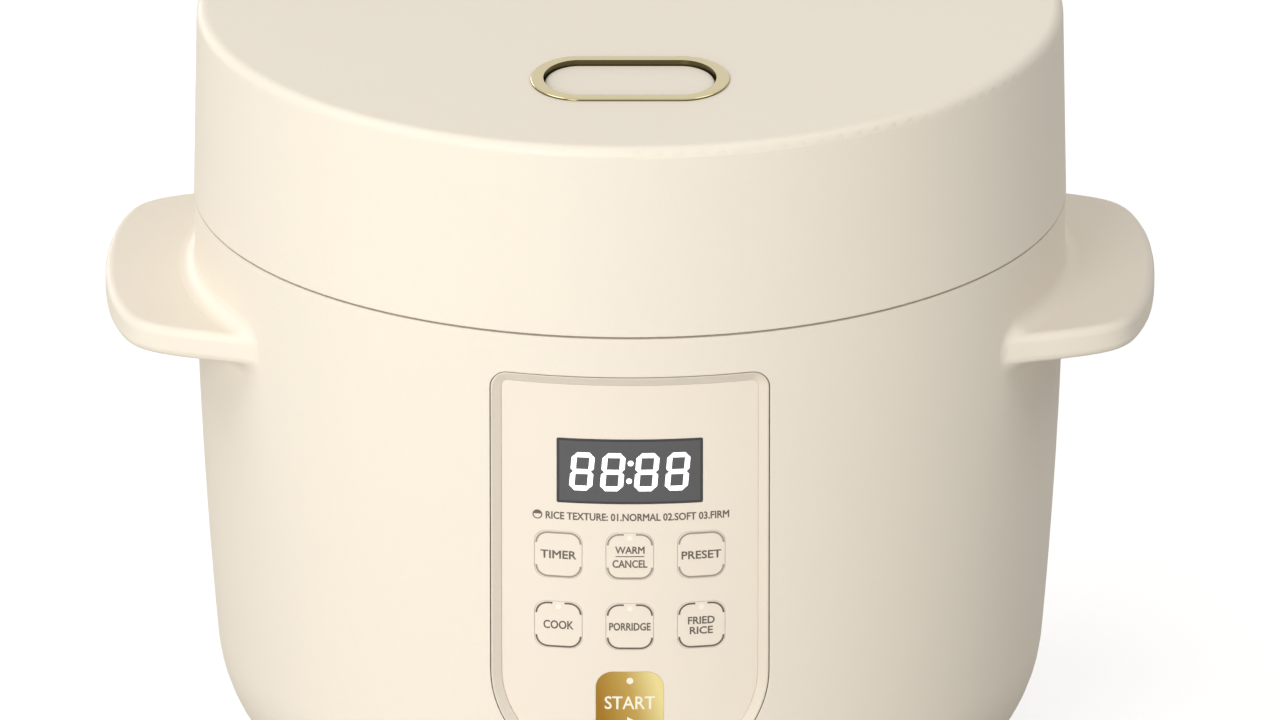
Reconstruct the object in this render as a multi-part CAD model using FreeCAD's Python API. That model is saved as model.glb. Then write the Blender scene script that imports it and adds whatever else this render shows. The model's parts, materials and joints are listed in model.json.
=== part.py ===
import FreeCAD, Part
import math
import os

# Digital rice cooker. Millimetres, +Z up, front at -Y, origin on the pot's axis at the table.

V = FreeCAD.Vector

# drum-shaped body
SEAM_Z = 171.0            # where the lid meets the body
RIM_R = 120.2             # body radius at the seam
MIDDLE_R = 118.4          # body radius half way down the side
MIDDLE_Z = 107.0
LOW_R = 114.1             # body radius where the rounded bottom begins
LOW_Z = 43.0
BOTTOM_ROUND = 45.0       # radius of the rounded bottom
SHELL_EDGE_Z = 2.75       # lower edge of the outer shell
WALL = 2.5
LEDGE_R = 68.0            # inner edge of the ledge that the base plate is screwed to
LEDGE_Z = (5.3, 7.5)
BOSS_R = 4.0
SCREW_R = 1.5
HEAD_R = 3.2
RUNNING = 0.05            # radial clearance of a pin that turns

# carrying handles
HANDLE_Z = (141.4, 149.9)
HANDLE_REACH = 144.7
HANDLE_EDGE = 2.2         # rounding of the plate's outer edges
HANDLE_BLEND = 4.5        # fillet where the handles meet the wall

# control panel
PANEL_HALF = 38.15
PANEL_Z = (41.0, 159.9)
PANEL_TOP_ROUND = 5.0
PANEL_LOW_ROUND = 30.0
PANEL_GAP = 0.25
PANEL_FLOOR_IN = 3.15     # from the opening's edge to the sunk face
PANEL_DEPTH = 2.0         # how far the sunk face lies below the body's side
FILM = 0.6
FRAME_BACK = 5.0
FRAME_LAP = 3.5
BEVEL_WIDTH = 2.6
BEVEL_DEPTH = 1.9

# display
WINDOW_HALF = 19.9
WINDOW_Z = (122.0, 141.0)
WINDOW_ROUND = 0.5
WINDOW_THICK = 1.2
DIGIT_WIDTH = 6.3
DIGIT_HEIGHT = 11.2
DIGIT_STROKE = 1.43
DIGIT_MIDDLE_Z = 131.4
DIGIT_LEAN = math.tan(math.radians(4.7))
DIGIT_X = (-13.05, -4.65, 4.61, 13.01)
DIGIT_DEEP = 0.4
DIGIT_SPACE = 0.14        # gap between neighbouring bars

# keys
KEY_PITCH = 19.5
KEY_WIDTH = 12.95
KEY_HEIGHT = 13.8
KEY_ROUND = 3.3
UPPER_ROW_Z = 106.5
LOWER_ROW_Z = 85.6
START_WIDTH = 18.5
START_HEIGHT = 19.7
START_ROUND = 4.7
START_Z = 62.2
KEY_CLEAR = 0.05
KEY_FLANGE = 0.8
KEY_POST_END = -108.3
BOARD_Y = (-103.0, -101.4)
BOARD_SCREW_X = 31.0
BOARD_SCREW_Z = (62.0, 150.0)

# collar, can, pot and heater
COLLAR_TOP = 169.5
COLLAR_R = 117.4
CAN_R = 95.0
CAN_Z = (27.0, 163.8)
POT_R = 92.0
POT_WALL = 1.6
POT_Z = (42.0, 167.5)
POT_ROUND = 22.0
POT_FLANGE_R = 99.5
HEATER_R = 80.0
HEATER_Z = (33.0, 41.9)
ELEMENT_R = 58.0
ELEMENT_TUBE = 4.0
COLLAR_SCREW_R = 108.5
COLLAR_SCREW_ANGLES = (20, 160, 232, 308)
BRACKET_SCREW = (24.0, 109.5)

# base
BASE_R = 77.6
BASE_Z = (2.75, 5.25)
BASE_SCREW_R = 73.0
FOOT_R = (56.0, 65.0)
POWER_BOARD_Z = (12.0, 13.6)
POWER_POSTS = ((-31.0, 20.0), (31.0, 20.0), (-31.0, 54.0), (31.0, 54.0))

# mains inlet in the lower rear wall
INLET_Z = 46.0
INLET_HALF = (12.5, 7.5)
INLET_WALL = 2.5
INLET_Y = (98.5, 112.0)
BEZEL_HALF = (20.0, 15.0)
BEZEL_PROUD = 1.4
PIN_SPOTS = ((-6.5, 44.0), (6.5, 44.0), (0.0, 49.0))

# hinge
HINGE_Y = 128.0
HINGE_Z = 178.0
HINGE_PIN_R = 2.5
EAR_R = 7.0
EAR_X = (21.0, 30.0)
ARM_HALF = 20.0
SPRING_BAY = 9.0

# lid
LID_GAP = 0.6
LID_LOW_Z = SEAM_Z + LID_GAP
LID_TOP = 225.7
LID_TOP_R = 119.2
LID_EDGE_ROUND = 3.0
LID_WALL = 2.6
LINER_R = 116.9
LINER_Z = (172.6, 175.0)
WELL_R = 86.0
WELL_TOP = (184.0, 186.0)
LINER_SCREW_R = 107.0
LINER_SCREW_ANGLES = (15, 60, 120, 165, 225, 315)
LID_PLATE_R = 84.0
LID_PLATE_Z = (177.0, 178.2)

# release button and latch
BUTTON_Y = -63.5
BUTTON_RING_HALF = (27.2, 17.55)
BUTTON_RING_FLAT = 13.8
BUTTON_RING_WIDTH = 3.55
BUTTON_RING_PROUD = 0.65
BUTTON_SUNK = 0.85
BUTTON_CLEAR = 0.35
LATCH_Y = -99.0
LATCH_Z = 197.0
LATCH_PIN_R = 2.0
LATCH_HALF = 7.0
HOOK_TIP_Y = -104.2
CATCH_TIP_Y = -103.9
PLUNGER_Y = LATCH_Y + 24.8
TAIL_TOP = 207.0

# steam outlet
STEAM_Y = 66.0
STEAM_CAP_R = 21.5
STEAM_SOCKET_R = 18.3
STEAM_FLOOR_Z = (204.0, 206.0)
DUCT_R = (6.0, 7.5)


def block(x0, x1, y0, y1, z0, z1):
    return Part.makeBox(x1 - x0, y1 - y0, z1 - z0, V(x0, y0, z0))


def cylinder(radius, low, high, x=0.0, y=0.0):
    return Part.makeCylinder(radius, high - low, V(x, y, low))


def pipe(outer, inner, low, high, x=0.0, y=0.0):
    return cylinder(outer, low, high, x, y).cut(cylinder(inner, low - 1, high + 1, x, y))


def rod_x(radius, x0, x1, y, z):
    return Part.makeCylinder(radius, x1 - x0, V(x0, y, z), V(1, 0, 0))


def rod_y(radius, y0, y1, x, z):
    return Part.makeCylinder(radius, y1 - y0, V(x, y0, z), V(0, 1, 0))


def joined(shapes):
    return shapes[0].multiFuse(shapes[1:]).removeSplitter()


def less(shape, tools):
    for tool in tools:
        shape = shape.cut(tool)
    return shape


def around(radius, angle):
    turn = math.radians(angle)
    return radius * math.cos(turn), radius * math.sin(turn)


def line(a, b):
    return Part.LineSegment(V(a[0], 0, a[1]), V(b[0], 0, b[1])).toShape()


def arc(a, middle, b):
    return Part.Arc(V(a[0], 0, a[1]), V(middle[0], 0, middle[1]), V(b[0], 0, b[1])).toShape()


def turned(edges):
    face = Part.Face(Part.Wire(Part.__sortEdges__(edges)))
    return face.revolve(V(0, 0, 0), V(0, 0, 1), 360)


def turned_outline(points):
    # solid turned from a closed outline of (radius, height) corners
    closed = points + points[:1]
    return turned([line(closed[i], closed[i + 1]) for i in range(len(points))])


def side_plate(points, x0, x1):
    # outline of (y, z) corners, carried along X
    corners = [V(x0, y, z) for y, z in points]
    return Part.Face(Part.makePolygon(corners + corners[:1])).extrude(V(x1 - x0, 0, 0))


def coil(radius, wire, pitch, turns):
    path = Part.Wire(Part.makeHelix(pitch, pitch * turns, radius))
    section = Part.Wire(Part.makeCircle(wire, V(radius, 0, 0), V(0, 1, 0)))
    return path.makePipeShell([section], True, True)


def screw(x, y, head_z, tip_z, head=1.8):
    # pan head screw on a vertical axis; the head lies on the far side from the tip
    up = head_z > tip_z
    cap = cylinder(HEAD_R, head_z, head_z + head, x, y)
    if not up:
        cap = cylinder(HEAD_R, head_z - head, head_z, x, y)
    shank = cylinder(SCREW_R, min(head_z, tip_z), max(head_z, tip_z), x, y)
    slot_z = head_z + head - 0.6 if up else head_z - head
    slot = block(x - 2, x + 2, y - 0.4, y + 0.4, slot_z, slot_z + 0.6)
    return joined([cap, shank]).cut(slot)


def side_circle():
    curve = Part.Circle(V(RIM_R, 0, SEAM_Z), V(MIDDLE_R, 0, MIDDLE_Z), V(LOW_R, 0, LOW_Z))
    return curve.Center.x, curve.Center.z, curve.Radius


def bottom_circle():
    # centre of the rounded bottom, tangent to the side where they meet
    cx, cz, radius = side_circle()
    share = BOTTOM_ROUND / radius
    return LOW_R - (LOW_R - cx) * share, LOW_Z - (LOW_Z - cz) * share


def wall_radius(z, inset=0.0):
    cx, cz, radius = side_circle()
    if z < LOW_Z:
        cx, cz = bottom_circle()
        radius = BOTTOM_ROUND
    return cx + math.sqrt((radius - inset) ** 2 - (z - cz) ** 2)


def wall_line(inset, low, high):
    # edges of the body's side and rounded bottom, moved in by inset
    cx, cz, radius = side_circle()
    share = inset / radius
    knee = (LOW_R - (LOW_R - cx) * share, LOW_Z - (LOW_Z - cz) * share)
    half_z = (high + knee[1]) / 2
    bend_z = (low + knee[1]) / 2
    side = arc((wall_radius(high, inset), high), (wall_radius(half_z, inset), half_z), knee)
    bottom = arc(knee, (wall_radius(bend_z, inset), bend_z), (wall_radius(low, inset), low))
    return [side, bottom]


def wall_layer(outer, inner, low=30.0, high=168.0):
    # layer of the body's side between two insets, right round
    top = line((wall_radius(high, outer), high), (wall_radius(high, inner), high))
    foot = line((wall_radius(low, outer), low), (wall_radius(low, inner), low))
    return turned(wall_line(outer, low, high) + wall_line(inner, low, high) + [top, foot])


def front_y(x, z, inset):
    return -math.sqrt(wall_radius(z, inset) ** 2 - x ** 2)


def front_prism(x, half, low, high, top_round, low_round):
    # rounded outline in the front plane, carried inwards through the wall
    def corner(sign_x, sign_z, radius):
        cx = x + sign_x * (half - radius)
        cz = (high if sign_z > 0 else low) - sign_z * radius
        bend = radius * math.sqrt(0.5)
        return [(cx + sign_x * radius, cz), (cx + sign_x * bend, cz + sign_z * bend),
                (cx, cz + sign_z * radius)]

    right_top = corner(1, 1, top_round)
    left_top = corner(-1, 1, top_round)[::-1]
    left_low = corner(-1, -1, low_round)
    right_low = corner(1, -1, low_round)[::-1]
    corners = [right_top, left_top, left_low, right_low]
    edges = [arc(*bend) for bend in corners]
    for i in range(4):
        start = corners[i][2]
        end = corners[(i + 1) % 4][0]
        if math.dist(start, end) > 1e-6:
            edges.append(line(start, end))
    face = Part.Face(Part.Wire(Part.__sortEdges__(edges)))
    face.translate(V(0, -130, 0))
    return face.extrude(V(0, 38, 0))


def panel_prism(grow):
    return front_prism(0, PANEL_HALF + grow, PANEL_Z[0] - grow, PANEL_Z[1] + grow,
                       PANEL_TOP_ROUND + grow, PANEL_LOW_ROUND + grow)


def window_prism(grow):
    return front_prism(0, WINDOW_HALF + grow, WINDOW_Z[0] - grow, WINDOW_Z[1] + grow,
                       WINDOW_ROUND, WINDOW_ROUND)


def key_places():
    small = (KEY_WIDTH, KEY_HEIGHT, KEY_ROUND)
    places = {}
    for column, name in ((-1, "timer"), (0, "warm_cancel"), (1, "preset")):
        places["key_" + name] = (column * KEY_PITCH, UPPER_ROW_Z) + small
    for column, name in ((-1, "cook"), (0, "porridge"), (1, "fried_rice")):
        places["key_" + name] = (column * KEY_PITCH, LOWER_ROW_Z) + small
    places["key_start"] = (0.0, START_Z, START_WIDTH, START_HEIGHT, START_ROUND)
    return places


def key_prism(place, grow):
    x, z, width, height, round_r = place
    return front_prism(x, width / 2 + grow, z - height / 2 - grow, z + height / 2 + grow,
                       round_r + grow, round_r + grow)


def handle_plate():
    # one handle as a flat plate with rounded edges; it runs on into the body's wall
    half = [(90.0, 67.4), (101.0, 63.0), (111.0, 59.4), (120.5, 56.4), (128.0, 53.4), (135.2, 48.4),
            (140.4, 37.4), (143.1, 24.5), (144.3, 11.8), (HANDLE_REACH, 0.0)]
    points = half + [(x, -y) for x, y in half[-2::-1]]
    curve = Part.BSplineCurve()
    curve.interpolate([V(x, y, HANDLE_Z[0]) for x, y in points])
    start = V(points[0][0], points[0][1], HANDLE_Z[0])
    end = V(points[-1][0], points[-1][1], HANDLE_Z[0])
    root = Part.LineSegment(end, start).toShape()
    plate = Part.Face(Part.Wire([curve.toShape(), root])).extrude(V(0, 0, HANDLE_Z[1] - HANDLE_Z[0]))
    rim = [edge for edge in plate.Edges if edge.BoundBox.XMax > HANDLE_REACH - 1
           and edge.BoundBox.ZLength < 0.01]
    return plate.makeFillet(HANDLE_EDGE, rim)


def shell_body():
    edge_r = wall_radius(SHELL_EDGE_Z)
    low, high = LEDGE_Z
    edges = wall_line(0, SHELL_EDGE_Z, SEAM_Z) + wall_line(WALL, high, SEAM_Z)
    edges.append(line((RIM_R, SEAM_Z), (wall_radius(SEAM_Z, WALL), SEAM_Z)))
    edges.append(line((edge_r, SHELL_EDGE_Z), (edge_r, low)))
    edges.append(line((edge_r, low), (LEDGE_R, low)))
    edges.append(line((LEDGE_R, low), (LEDGE_R, high)))
    edges.append(line((LEDGE_R, high), (wall_radius(high, WALL), high)))
    return turned(edges)


def shell_bosses():
    bosses = []
    for angle in COLLAR_SCREW_ANGLES:
        x, y = around(COLLAR_SCREW_R, angle)
        post = cylinder(BOSS_R, 128, 167.4, x, y)
        rib = block(COLLAR_SCREW_R, wall_radius(128, WALL) + 0.6, -1.5, 1.5, 128, 151)
        rib.rotate(V(0, 0, 0), V(0, 0, 1), angle)
        bosses.append(joined([post, rib]).cut(cylinder(SCREW_R, 150, 168, x, y)))
    for angle in (45, 135, 225, 315):
        x, y = around(BASE_SCREW_R, angle)
        bosses.append(cylinder(BOSS_R, LEDGE_Z[1] - 0.5, 16, x, y))
    return bosses


def on_side(edge):
    # True where an edge lies on the outside of the body's wall
    middle = edge.valueAt((edge.FirstParameter + edge.LastParameter) / 2)
    points = [vertex.Point for vertex in edge.Vertexes] + [middle]
    return all(abs(math.hypot(point.x, point.y) - wall_radius(point.z)) < 0.05 for point in points)


def wall_with_handles():
    # the drum and its two handles in one moulding, blended where they meet
    hollow_line = wall_line(WALL, 10.0, SEAM_Z)
    hollow_line.append(line((wall_radius(SEAM_Z, WALL), SEAM_Z), (0, SEAM_Z)))
    hollow_line.append(line((0, SEAM_Z), (0, 10.0)))
    hollow_line.append(line((0, 10.0), (wall_radius(10.0, WALL), 10.0)))
    hollow = turned(hollow_line)
    right = handle_plate().cut(hollow)
    left = right.mirror(V(0, 0, 0), V(1, 0, 0))
    drum = joined([shell_body(), right, left])
    meeting = [edge for edge in drum.Edges if on_side(edge)
               and edge.BoundBox.ZMin > HANDLE_Z[0] - 4 and edge.BoundBox.ZMax < HANDLE_Z[1] + 4]
    return drum.makeFillet(HANDLE_BLEND, meeting)


def body_shell():
    shell = joined([wall_with_handles()] + shell_bosses())
    openings = [panel_prism(0),
                block(-EAR_X[1] - 0.2, EAR_X[1] + 0.2, 105, 125, 155.8, SEAM_Z + 1),
                block(-17.2, 17.2, 105, 125, INLET_Z - 12.2, INLET_Z + 12.2)]
    for angle in (45, 135, 225, 315):
        x, y = around(BASE_SCREW_R, angle)
        openings.append(cylinder(SCREW_R, 4, 15, x, y))
    return less(shell, openings)


def pot_collar():
    ring = turned_outline([(115.4, 152), (COLLAR_R, 152), (COLLAR_R, COLLAR_TOP - 1), (116.4, COLLAR_TOP),
                           (101.4, COLLAR_TOP), (100.4, COLLAR_TOP - 1), (100.4, 165.6), (96.2, 165.6),
                           (96.2, 163.9), (102.4, 163.9), (102.4, 167.5), (115.4, 167.5)])
    openings = [block(-EAR_X[1] - 0.4, EAR_X[1] + 0.4, 105.6, 125, 150, 167.5),
                block(-9, 9, -114.6, -102.3, 160, 171),
                panel_prism(FRAME_LAP + 0.6)]
    for x, y in collar_screw_spots():
        openings.append(cylinder(SCREW_R + 0.2, 160, 172, x, y))
        openings.append(cylinder(HEAD_R + 0.3, 168.4, 172, x, y))
    return less(ring, openings)


def collar_screw_spots():
    spots = [around(COLLAR_SCREW_R, angle) for angle in COLLAR_SCREW_ANGLES]
    x, y = BRACKET_SCREW
    return spots + [(x, y), (-x, y)]


def collar_screws():
    return Part.makeCompound([screw(x, y, 168.4, 152, 0.9) for x, y in collar_screw_spots()])


def latch_catch():
    # bent strip behind the front slot; its lip is what the hook passes under
    upright = block(-7.5, 7.5, -103.6, -102.6, 156, 163.8)
    lip = block(-7.5, 7.5, CATCH_TIP_Y, -102.6, 163.8, 166.6)
    return joined([upright, lip])


def hinge_bracket():
    outline = [(121.0, HINGE_Z), (121.0, 170.5), (117.6, 170.5), (117.6, 167.3), (106, 167.3), (106, 151),
               (111, 151), (112.4, 155.9), (117, 155.9), (120.6, 158.5), (134.4, 174.8)]
    body = side_plate(outline, -EAR_X[1], EAR_X[1])
    ears = joined([body, rod_x(EAR_R, -EAR_X[1], EAR_X[1], HINGE_Y, HINGE_Z)])
    between = block(-EAR_X[0], EAR_X[0], 117.8, 140, 170.5, 190)
    sunk = side_plate([(121.5, 171), (121.5, 164), (128.5, 171)], -EAR_X[0], EAR_X[0])
    rim = cylinder(COLLAR_R + 0.1, 167.3, 172)
    cuts = [between, sunk, rim, rod_x(HINGE_PIN_R, -40, 40, HINGE_Y, HINGE_Z)]
    for sign in (-1, 1):
        cuts.append(cylinder(SCREW_R, 152, 168, sign * BRACKET_SCREW[0], BRACKET_SCREW[1]))
    return less(ears, cuts)


def hinge_pin():
    shaft = rod_x(HINGE_PIN_R, -EAR_X[1], EAR_X[1], HINGE_Y, HINGE_Z)
    head = rod_x(HINGE_PIN_R + 1.5, EAR_X[1], EAR_X[1] + 1.2, HINGE_Y, HINGE_Z)
    return joined([shaft, head])


def hinge_spring():
    # torsion spring in the middle bay, with one leg towards the bracket and one towards the lid's arm
    winding = coil(4.2, 0.8, 1.9, 8)
    winding.rotate(V(0, 0, 0), V(0, 1, 0), 90)
    winding.translate(V(-7.6, HINGE_Y, HINGE_Z))
    lid_leg = Part.makeCylinder(0.8, 5.8, V(-7.6, HINGE_Y, HINGE_Z - 4.2), V(0, -1, 0))
    body_leg = Part.makeCylinder(0.8, 5.5, V(7.6, HINGE_Y, HINGE_Z - 4.2), V(0, 1, 0))
    return joined([winding, lid_leg, body_leg])


def inner_can():
    low, high = CAN_Z
    wall = 0.8
    can = turned_outline([(CAN_R, low), (CAN_R, high - wall), (101.5, high - wall), (101.5, high),
                          (CAN_R - wall, high), (CAN_R - wall, low + wall), (30, low + wall), (30, low)])
    posts = [cylinder(2, low - 1, low + 2, *around(65, angle)) for angle in (90, 210, 330)]
    vents = [cylinder(4, low - 1, low + 2, *around(86, angle)) for angle in range(0, 360, 30)]
    leads = [cylinder(6, low - 1, low + 2, sign * 18, -ELEMENT_R) for sign in (-1, 1)]
    return less(can, posts + vents + leads)


def heating_plate():
    low, high = HEATER_Z
    plate = cylinder(HEATER_R, low, high)
    plate = plate.makeFillet(2.5, [edge for edge in plate.Edges if edge.BoundBox.ZMin > high - 0.1])
    legs = [cylinder(5, CAN_Z[0] + 0.8, low + 1, *around(65, angle)) for angle in (90, 210, 330)]
    holes = [cylinder(SCREW_R, 20, low + 4, *around(65, angle)) for angle in (90, 210, 330)]
    ring = Part.makeTorus(ELEMENT_R, ELEMENT_TUBE, V(0, 0, low - 1))
    bore = cylinder(17, low - 1, high + 1)
    return less(joined([plate] + legs), holes + [ring, bore])


def plate_screws():
    return Part.makeCompound([screw(*around(65, angle), CAN_Z[0], HEATER_Z[0] + 3)
                              for angle in (90, 210, 330)])


def heating_element():
    # tubular ring cast into the plate's underside, open at the front where its cold ends turn down
    level = HEATER_Z[0] - 1
    ring = Part.makeTorus(ELEMENT_R, ELEMENT_TUBE, V(0, 0, level))
    gap = block(-14, 14, -70, -40, level - 10, level + 10)
    ends = []
    for sign in (-1, 1):
        x = sign * 18
        y = -math.sqrt(ELEMENT_R ** 2 - x ** 2)
        ends.append(cylinder(3.2, level - 14, level, x, y))
    return joined([ring.cut(gap)] + ends)


def heater_terminals():
    blades = []
    for sign in (-1, 1):
        x = sign * 18
        y = -math.sqrt(ELEMENT_R ** 2 - x ** 2)
        blades.append(block(x - 3, x + 3, y - 0.4, y + 0.4, HEATER_Z[0] - 22, HEATER_Z[0] - 15))
    return Part.makeCompound(blades)


def thermal_fuse():
    # cylindrical cut-out in a strap on the can's floor
    body = rod_x(3.5, 34, 56, 30, CAN_Z[0] - 3.5)
    strap = block(43, 47, 24, 36, CAN_Z[0] - 0.6, CAN_Z[0])
    leads = rod_x(0.8, 29, 61, 30, CAN_Z[0] - 3.5)
    return joined([body, strap, leads])


def sensor_holder():
    low = 21.0
    disc = pipe(22, 6.3, low, low + 2)
    legs = [block(sign * 20 - 2, sign * 20 + 2, -5, 5, low + 1, HEATER_Z[0]) for sign in (-1, 1)]
    return joined([disc] + legs)


def sensor_cap():
    top = HEATER_Z[1]
    cup = cylinder(15.5, top - 6, top).cut(cylinder(14.3, top - 7, top - 1.2))
    stem = cylinder(6, 18, top - 1)
    return joined([cup, stem]).cut(cylinder(3.5, 17, top - 4))


def sensor_spring():
    winding = coil(8.4, 0.7, 3.4, 4)
    winding.translate(V(0, 0, 23.9))
    return winding


def base_plate():
    low, high = BASE_Z
    plate = cylinder(BASE_R, low, high)
    posts = [cylinder(3, high - 0.5, POWER_BOARD_Z[0], x, y) for x, y in POWER_POSTS]
    cuts = [pipe(61.5, 59.5, low - 1, low + 1.3)]
    for x, y in POWER_POSTS:
        cuts.append(cylinder(1.2, high + 1, POWER_BOARD_Z[0] + 1, x, y))
    for angle in (45, 135, 225, 315):
        cuts.append(cylinder(SCREW_R + 0.2, 1, 7, *around(BASE_SCREW_R, angle)))
    for angle in range(0, 360, 20):
        slot = block(30, 50, -1.6, 1.6, low - 1, high + 1)
        slot.rotate(V(0, 0, 0), V(0, 0, 1), angle + 10)
        near_post = any(abs(math.degrees(math.atan2(y, x)) - angle - 10) < 12 for x, y in POWER_POSTS)
        if not near_post:
            cuts.append(slot)
    return less(joined([plate] + posts), cuts)


def base_screws():
    return Part.makeCompound([screw(*around(BASE_SCREW_R, angle), BASE_Z[0], 14, 1.5)
                              for angle in (45, 135, 225, 315)])


def foot_ring():
    low, high = FOOT_R
    ring = pipe(high, low, 0, BASE_Z[0])
    edges = [edge for edge in ring.Edges if edge.BoundBox.ZMax < 0.01]
    ring = ring.makeFillet(1.0, edges)
    return joined([ring, pipe(61.5, 59.5, BASE_Z[0] - 1, BASE_Z[0] + 1.2)])


def power_board():
    board = block(-36, 36, 15, 60, *POWER_BOARD_Z)
    return less(board, [cylinder(1.6, 10, 16, x, y) for x, y in POWER_POSTS])


def power_board_parts():
    top = POWER_BOARD_Z[1]
    relay = block(-22, -3, 38, 54, top, top + 11)
    transformer = block(4, 26, 34, 54, top, top + 11)
    capacitor = rod_x(5, -24, -6, 28, top + 5)
    varistor = block(6, 14, 24, 28, top, top + 9)
    plug = block(-20, 4, 16.5, 21.5, top, top + 7)
    return Part.makeCompound([relay, transformer, capacitor, varistor, plug])


def power_inlet():
    half_x, half_z = INLET_HALF
    wall = INLET_WALL
    back = INLET_Y[0]
    rear = wall_radius(INLET_Z) + 2
    case = block(-half_x - wall, half_x + wall, back, rear, INLET_Z - half_z - wall, INLET_Z + half_z + wall)
    case = case.common(wall_layer(-BEZEL_PROUD, 22))
    socket = block(-half_x, half_x, back + wall, rear + 5, INLET_Z - half_z, INLET_Z + half_z)
    cuts = [socket] + [rod_y(1.6, back - 1, back + wall + 1, x, z) for x, z in PIN_SPOTS]
    return less(case, cuts)


def inlet_bezel():
    half_x, half_z = BEZEL_HALF
    plate = block(-half_x, half_x, 90, 130, INLET_Z - half_z, INLET_Z + half_z)
    plate = plate.makeFillet(4, [edge for edge in plate.Edges if edge.BoundBox.YLength > 30])
    plate = plate.common(wall_layer(-BEZEL_PROUD, 0))
    hole_x = INLET_HALF[0] + INLET_WALL + 0.05
    hole_z = INLET_HALF[1] + INLET_WALL + 0.05
    return plate.cut(block(-hole_x, hole_x, 90, 130, INLET_Z - hole_z, INLET_Z + hole_z))


def inlet_pins():
    pins = []
    for x, z in PIN_SPOTS:
        pin = rod_y(1.6, INLET_Y[0] - 2.2, INLET_Y[1], x, z)
        tip = [edge for edge in pin.Edges if edge.BoundBox.YMin > INLET_Y[1] - 0.1]
        pins.append(pin.makeFillet(0.8, tip))
    return Part.makeCompound(pins)


def panel_frame():
    inner = panel_prism(-PANEL_FLOOR_IN)
    front = panel_prism(-PANEL_GAP).common(wall_layer(0, FRAME_BACK))
    lap = panel_prism(FRAME_LAP).common(wall_layer(WALL + 0.05, FRAME_BACK))
    frame = joined([front, lap]).cut(inner.common(wall_layer(-3, PANEL_DEPTH + FILM)))
    reach = PANEL_HALF - PANEL_FLOOR_IN + 0.1
    mouth = []
    for edge in frame.Edges:
        box = edge.BoundBox
        low_enough = box.ZMax < PANEL_Z[1] - PANEL_FLOOR_IN + 0.1
        high_enough = box.ZMin > PANEL_Z[0] + PANEL_FLOOR_IN - 0.1
        if on_side(edge) and low_enough and high_enough and abs(box.XMax) < reach and abs(box.XMin) < reach:
            mouth.append(edge)
    frame = frame.makeChamfer(BEVEL_WIDTH, BEVEL_DEPTH, mouth)
    pillars = []
    for z in BOARD_SCREW_Z:
        for x in (-BOARD_SCREW_X, BOARD_SCREW_X):
            pillars.append(rod_y(3.2, front_y(x, z, 4.2) + 0.4, BOARD_Y[0], x, z))
    frame = joined([frame] + pillars)
    cuts = [rod_y(1.2, BOARD_Y[0] - 4.5, BOARD_Y[0] + 1, x, z)
            for x in (-BOARD_SCREW_X, BOARD_SCREW_X) for z in BOARD_SCREW_Z]
    cuts.append(window_prism(-1.5))
    cuts.append(window_prism(0.05).common(wall_layer(-3, PANEL_DEPTH + WINDOW_THICK + 0.05)))
    cuts += [key_prism(place, KEY_CLEAR) for place in key_places().values()]
    return less(frame, cuts)


def panel_film():
    film = panel_prism(-PANEL_FLOOR_IN - 0.02).common(wall_layer(PANEL_DEPTH, PANEL_DEPTH + FILM))
    return less(film, [window_prism(0.03)] + [key_prism(place, KEY_CLEAR) for place in key_places().values()])


def segment(x, z, length, upright):
    # one six-cornered bar of a digit, leaning with the display
    half = length / 2
    thick = DIGIT_STROKE / 2
    corners = [(-half, 0), (-half + thick, thick), (half - thick, thick), (half, 0),
               (half - thick, -thick), (-half + thick, -thick)]
    points = []
    for along, across in corners:
        dx, dz = (across, along) if upright else (along, across)
        height = z + dz
        points.append(V(x + dx + height * DIGIT_LEAN, -130, DIGIT_MIDDLE_Z + height))
    return Part.Face(Part.makePolygon(points + points[:1])).extrude(V(0, 38, 0))


def digit_bars():
    across = DIGIT_WIDTH - DIGIT_STROKE
    tall = (DIGIT_HEIGHT - DIGIT_STROKE) / 2
    bars = []
    for x in DIGIT_X:
        bars += [segment(x, z, across - DIGIT_SPACE, False) for z in (-tall, 0, tall)]
        bars += [segment(x + side * across / 2, z, tall - DIGIT_SPACE, True)
                 for side in (-1, 1) for z in (-tall / 2, tall / 2)]
    for z in (-2.6, 2.6):
        bars.append(rod_y(0.8, -130, -92, z * DIGIT_LEAN, DIGIT_MIDDLE_Z + z))
    return bars


def display_digits():
    layer = wall_layer(PANEL_DEPTH, PANEL_DEPTH + DIGIT_DEEP)
    return Part.makeCompound([bar.common(layer) for bar in digit_bars()])


def display_window():
    window = window_prism(0).common(wall_layer(PANEL_DEPTH, PANEL_DEPTH + WINDOW_THICK))
    return window.cut(display_digits())


def display_module():
    case = block(-18, 18, -111.2, BOARD_Y[0], WINDOW_Z[0] + 2, WINDOW_Z[1] - 2)
    return case.cut(wall_layer(-3, FRAME_BACK + 0.3))


def control_board():
    board = block(-34.5, 34.5, *BOARD_Y, BOARD_SCREW_Z[0] - 13, BOARD_SCREW_Z[1] + 5)
    holes = [rod_y(1.5, BOARD_Y[0] - 1, BOARD_Y[1] + 1, x, z)
             for x in (-BOARD_SCREW_X, BOARD_SCREW_X) for z in BOARD_SCREW_Z]
    return less(board, holes)


def board_screws():
    upright = [joined([cylinder(2.4, POWER_BOARD_Z[1], POWER_BOARD_Z[1] + 1.5, x, y),
                       cylinder(1.15, 7, POWER_BOARD_Z[1] + 1, x, y)]) for x, y in POWER_POSTS]
    level = [joined([rod_y(2.4, BOARD_Y[1], BOARD_Y[1] + 1.6, x, z),
                     rod_y(1.15, BOARD_Y[0] - 4.2, BOARD_Y[1] + 1, x, z)])
             for x in (-BOARD_SCREW_X, BOARD_SCREW_X) for z in BOARD_SCREW_Z]
    return Part.makeCompound(upright + level)


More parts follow.
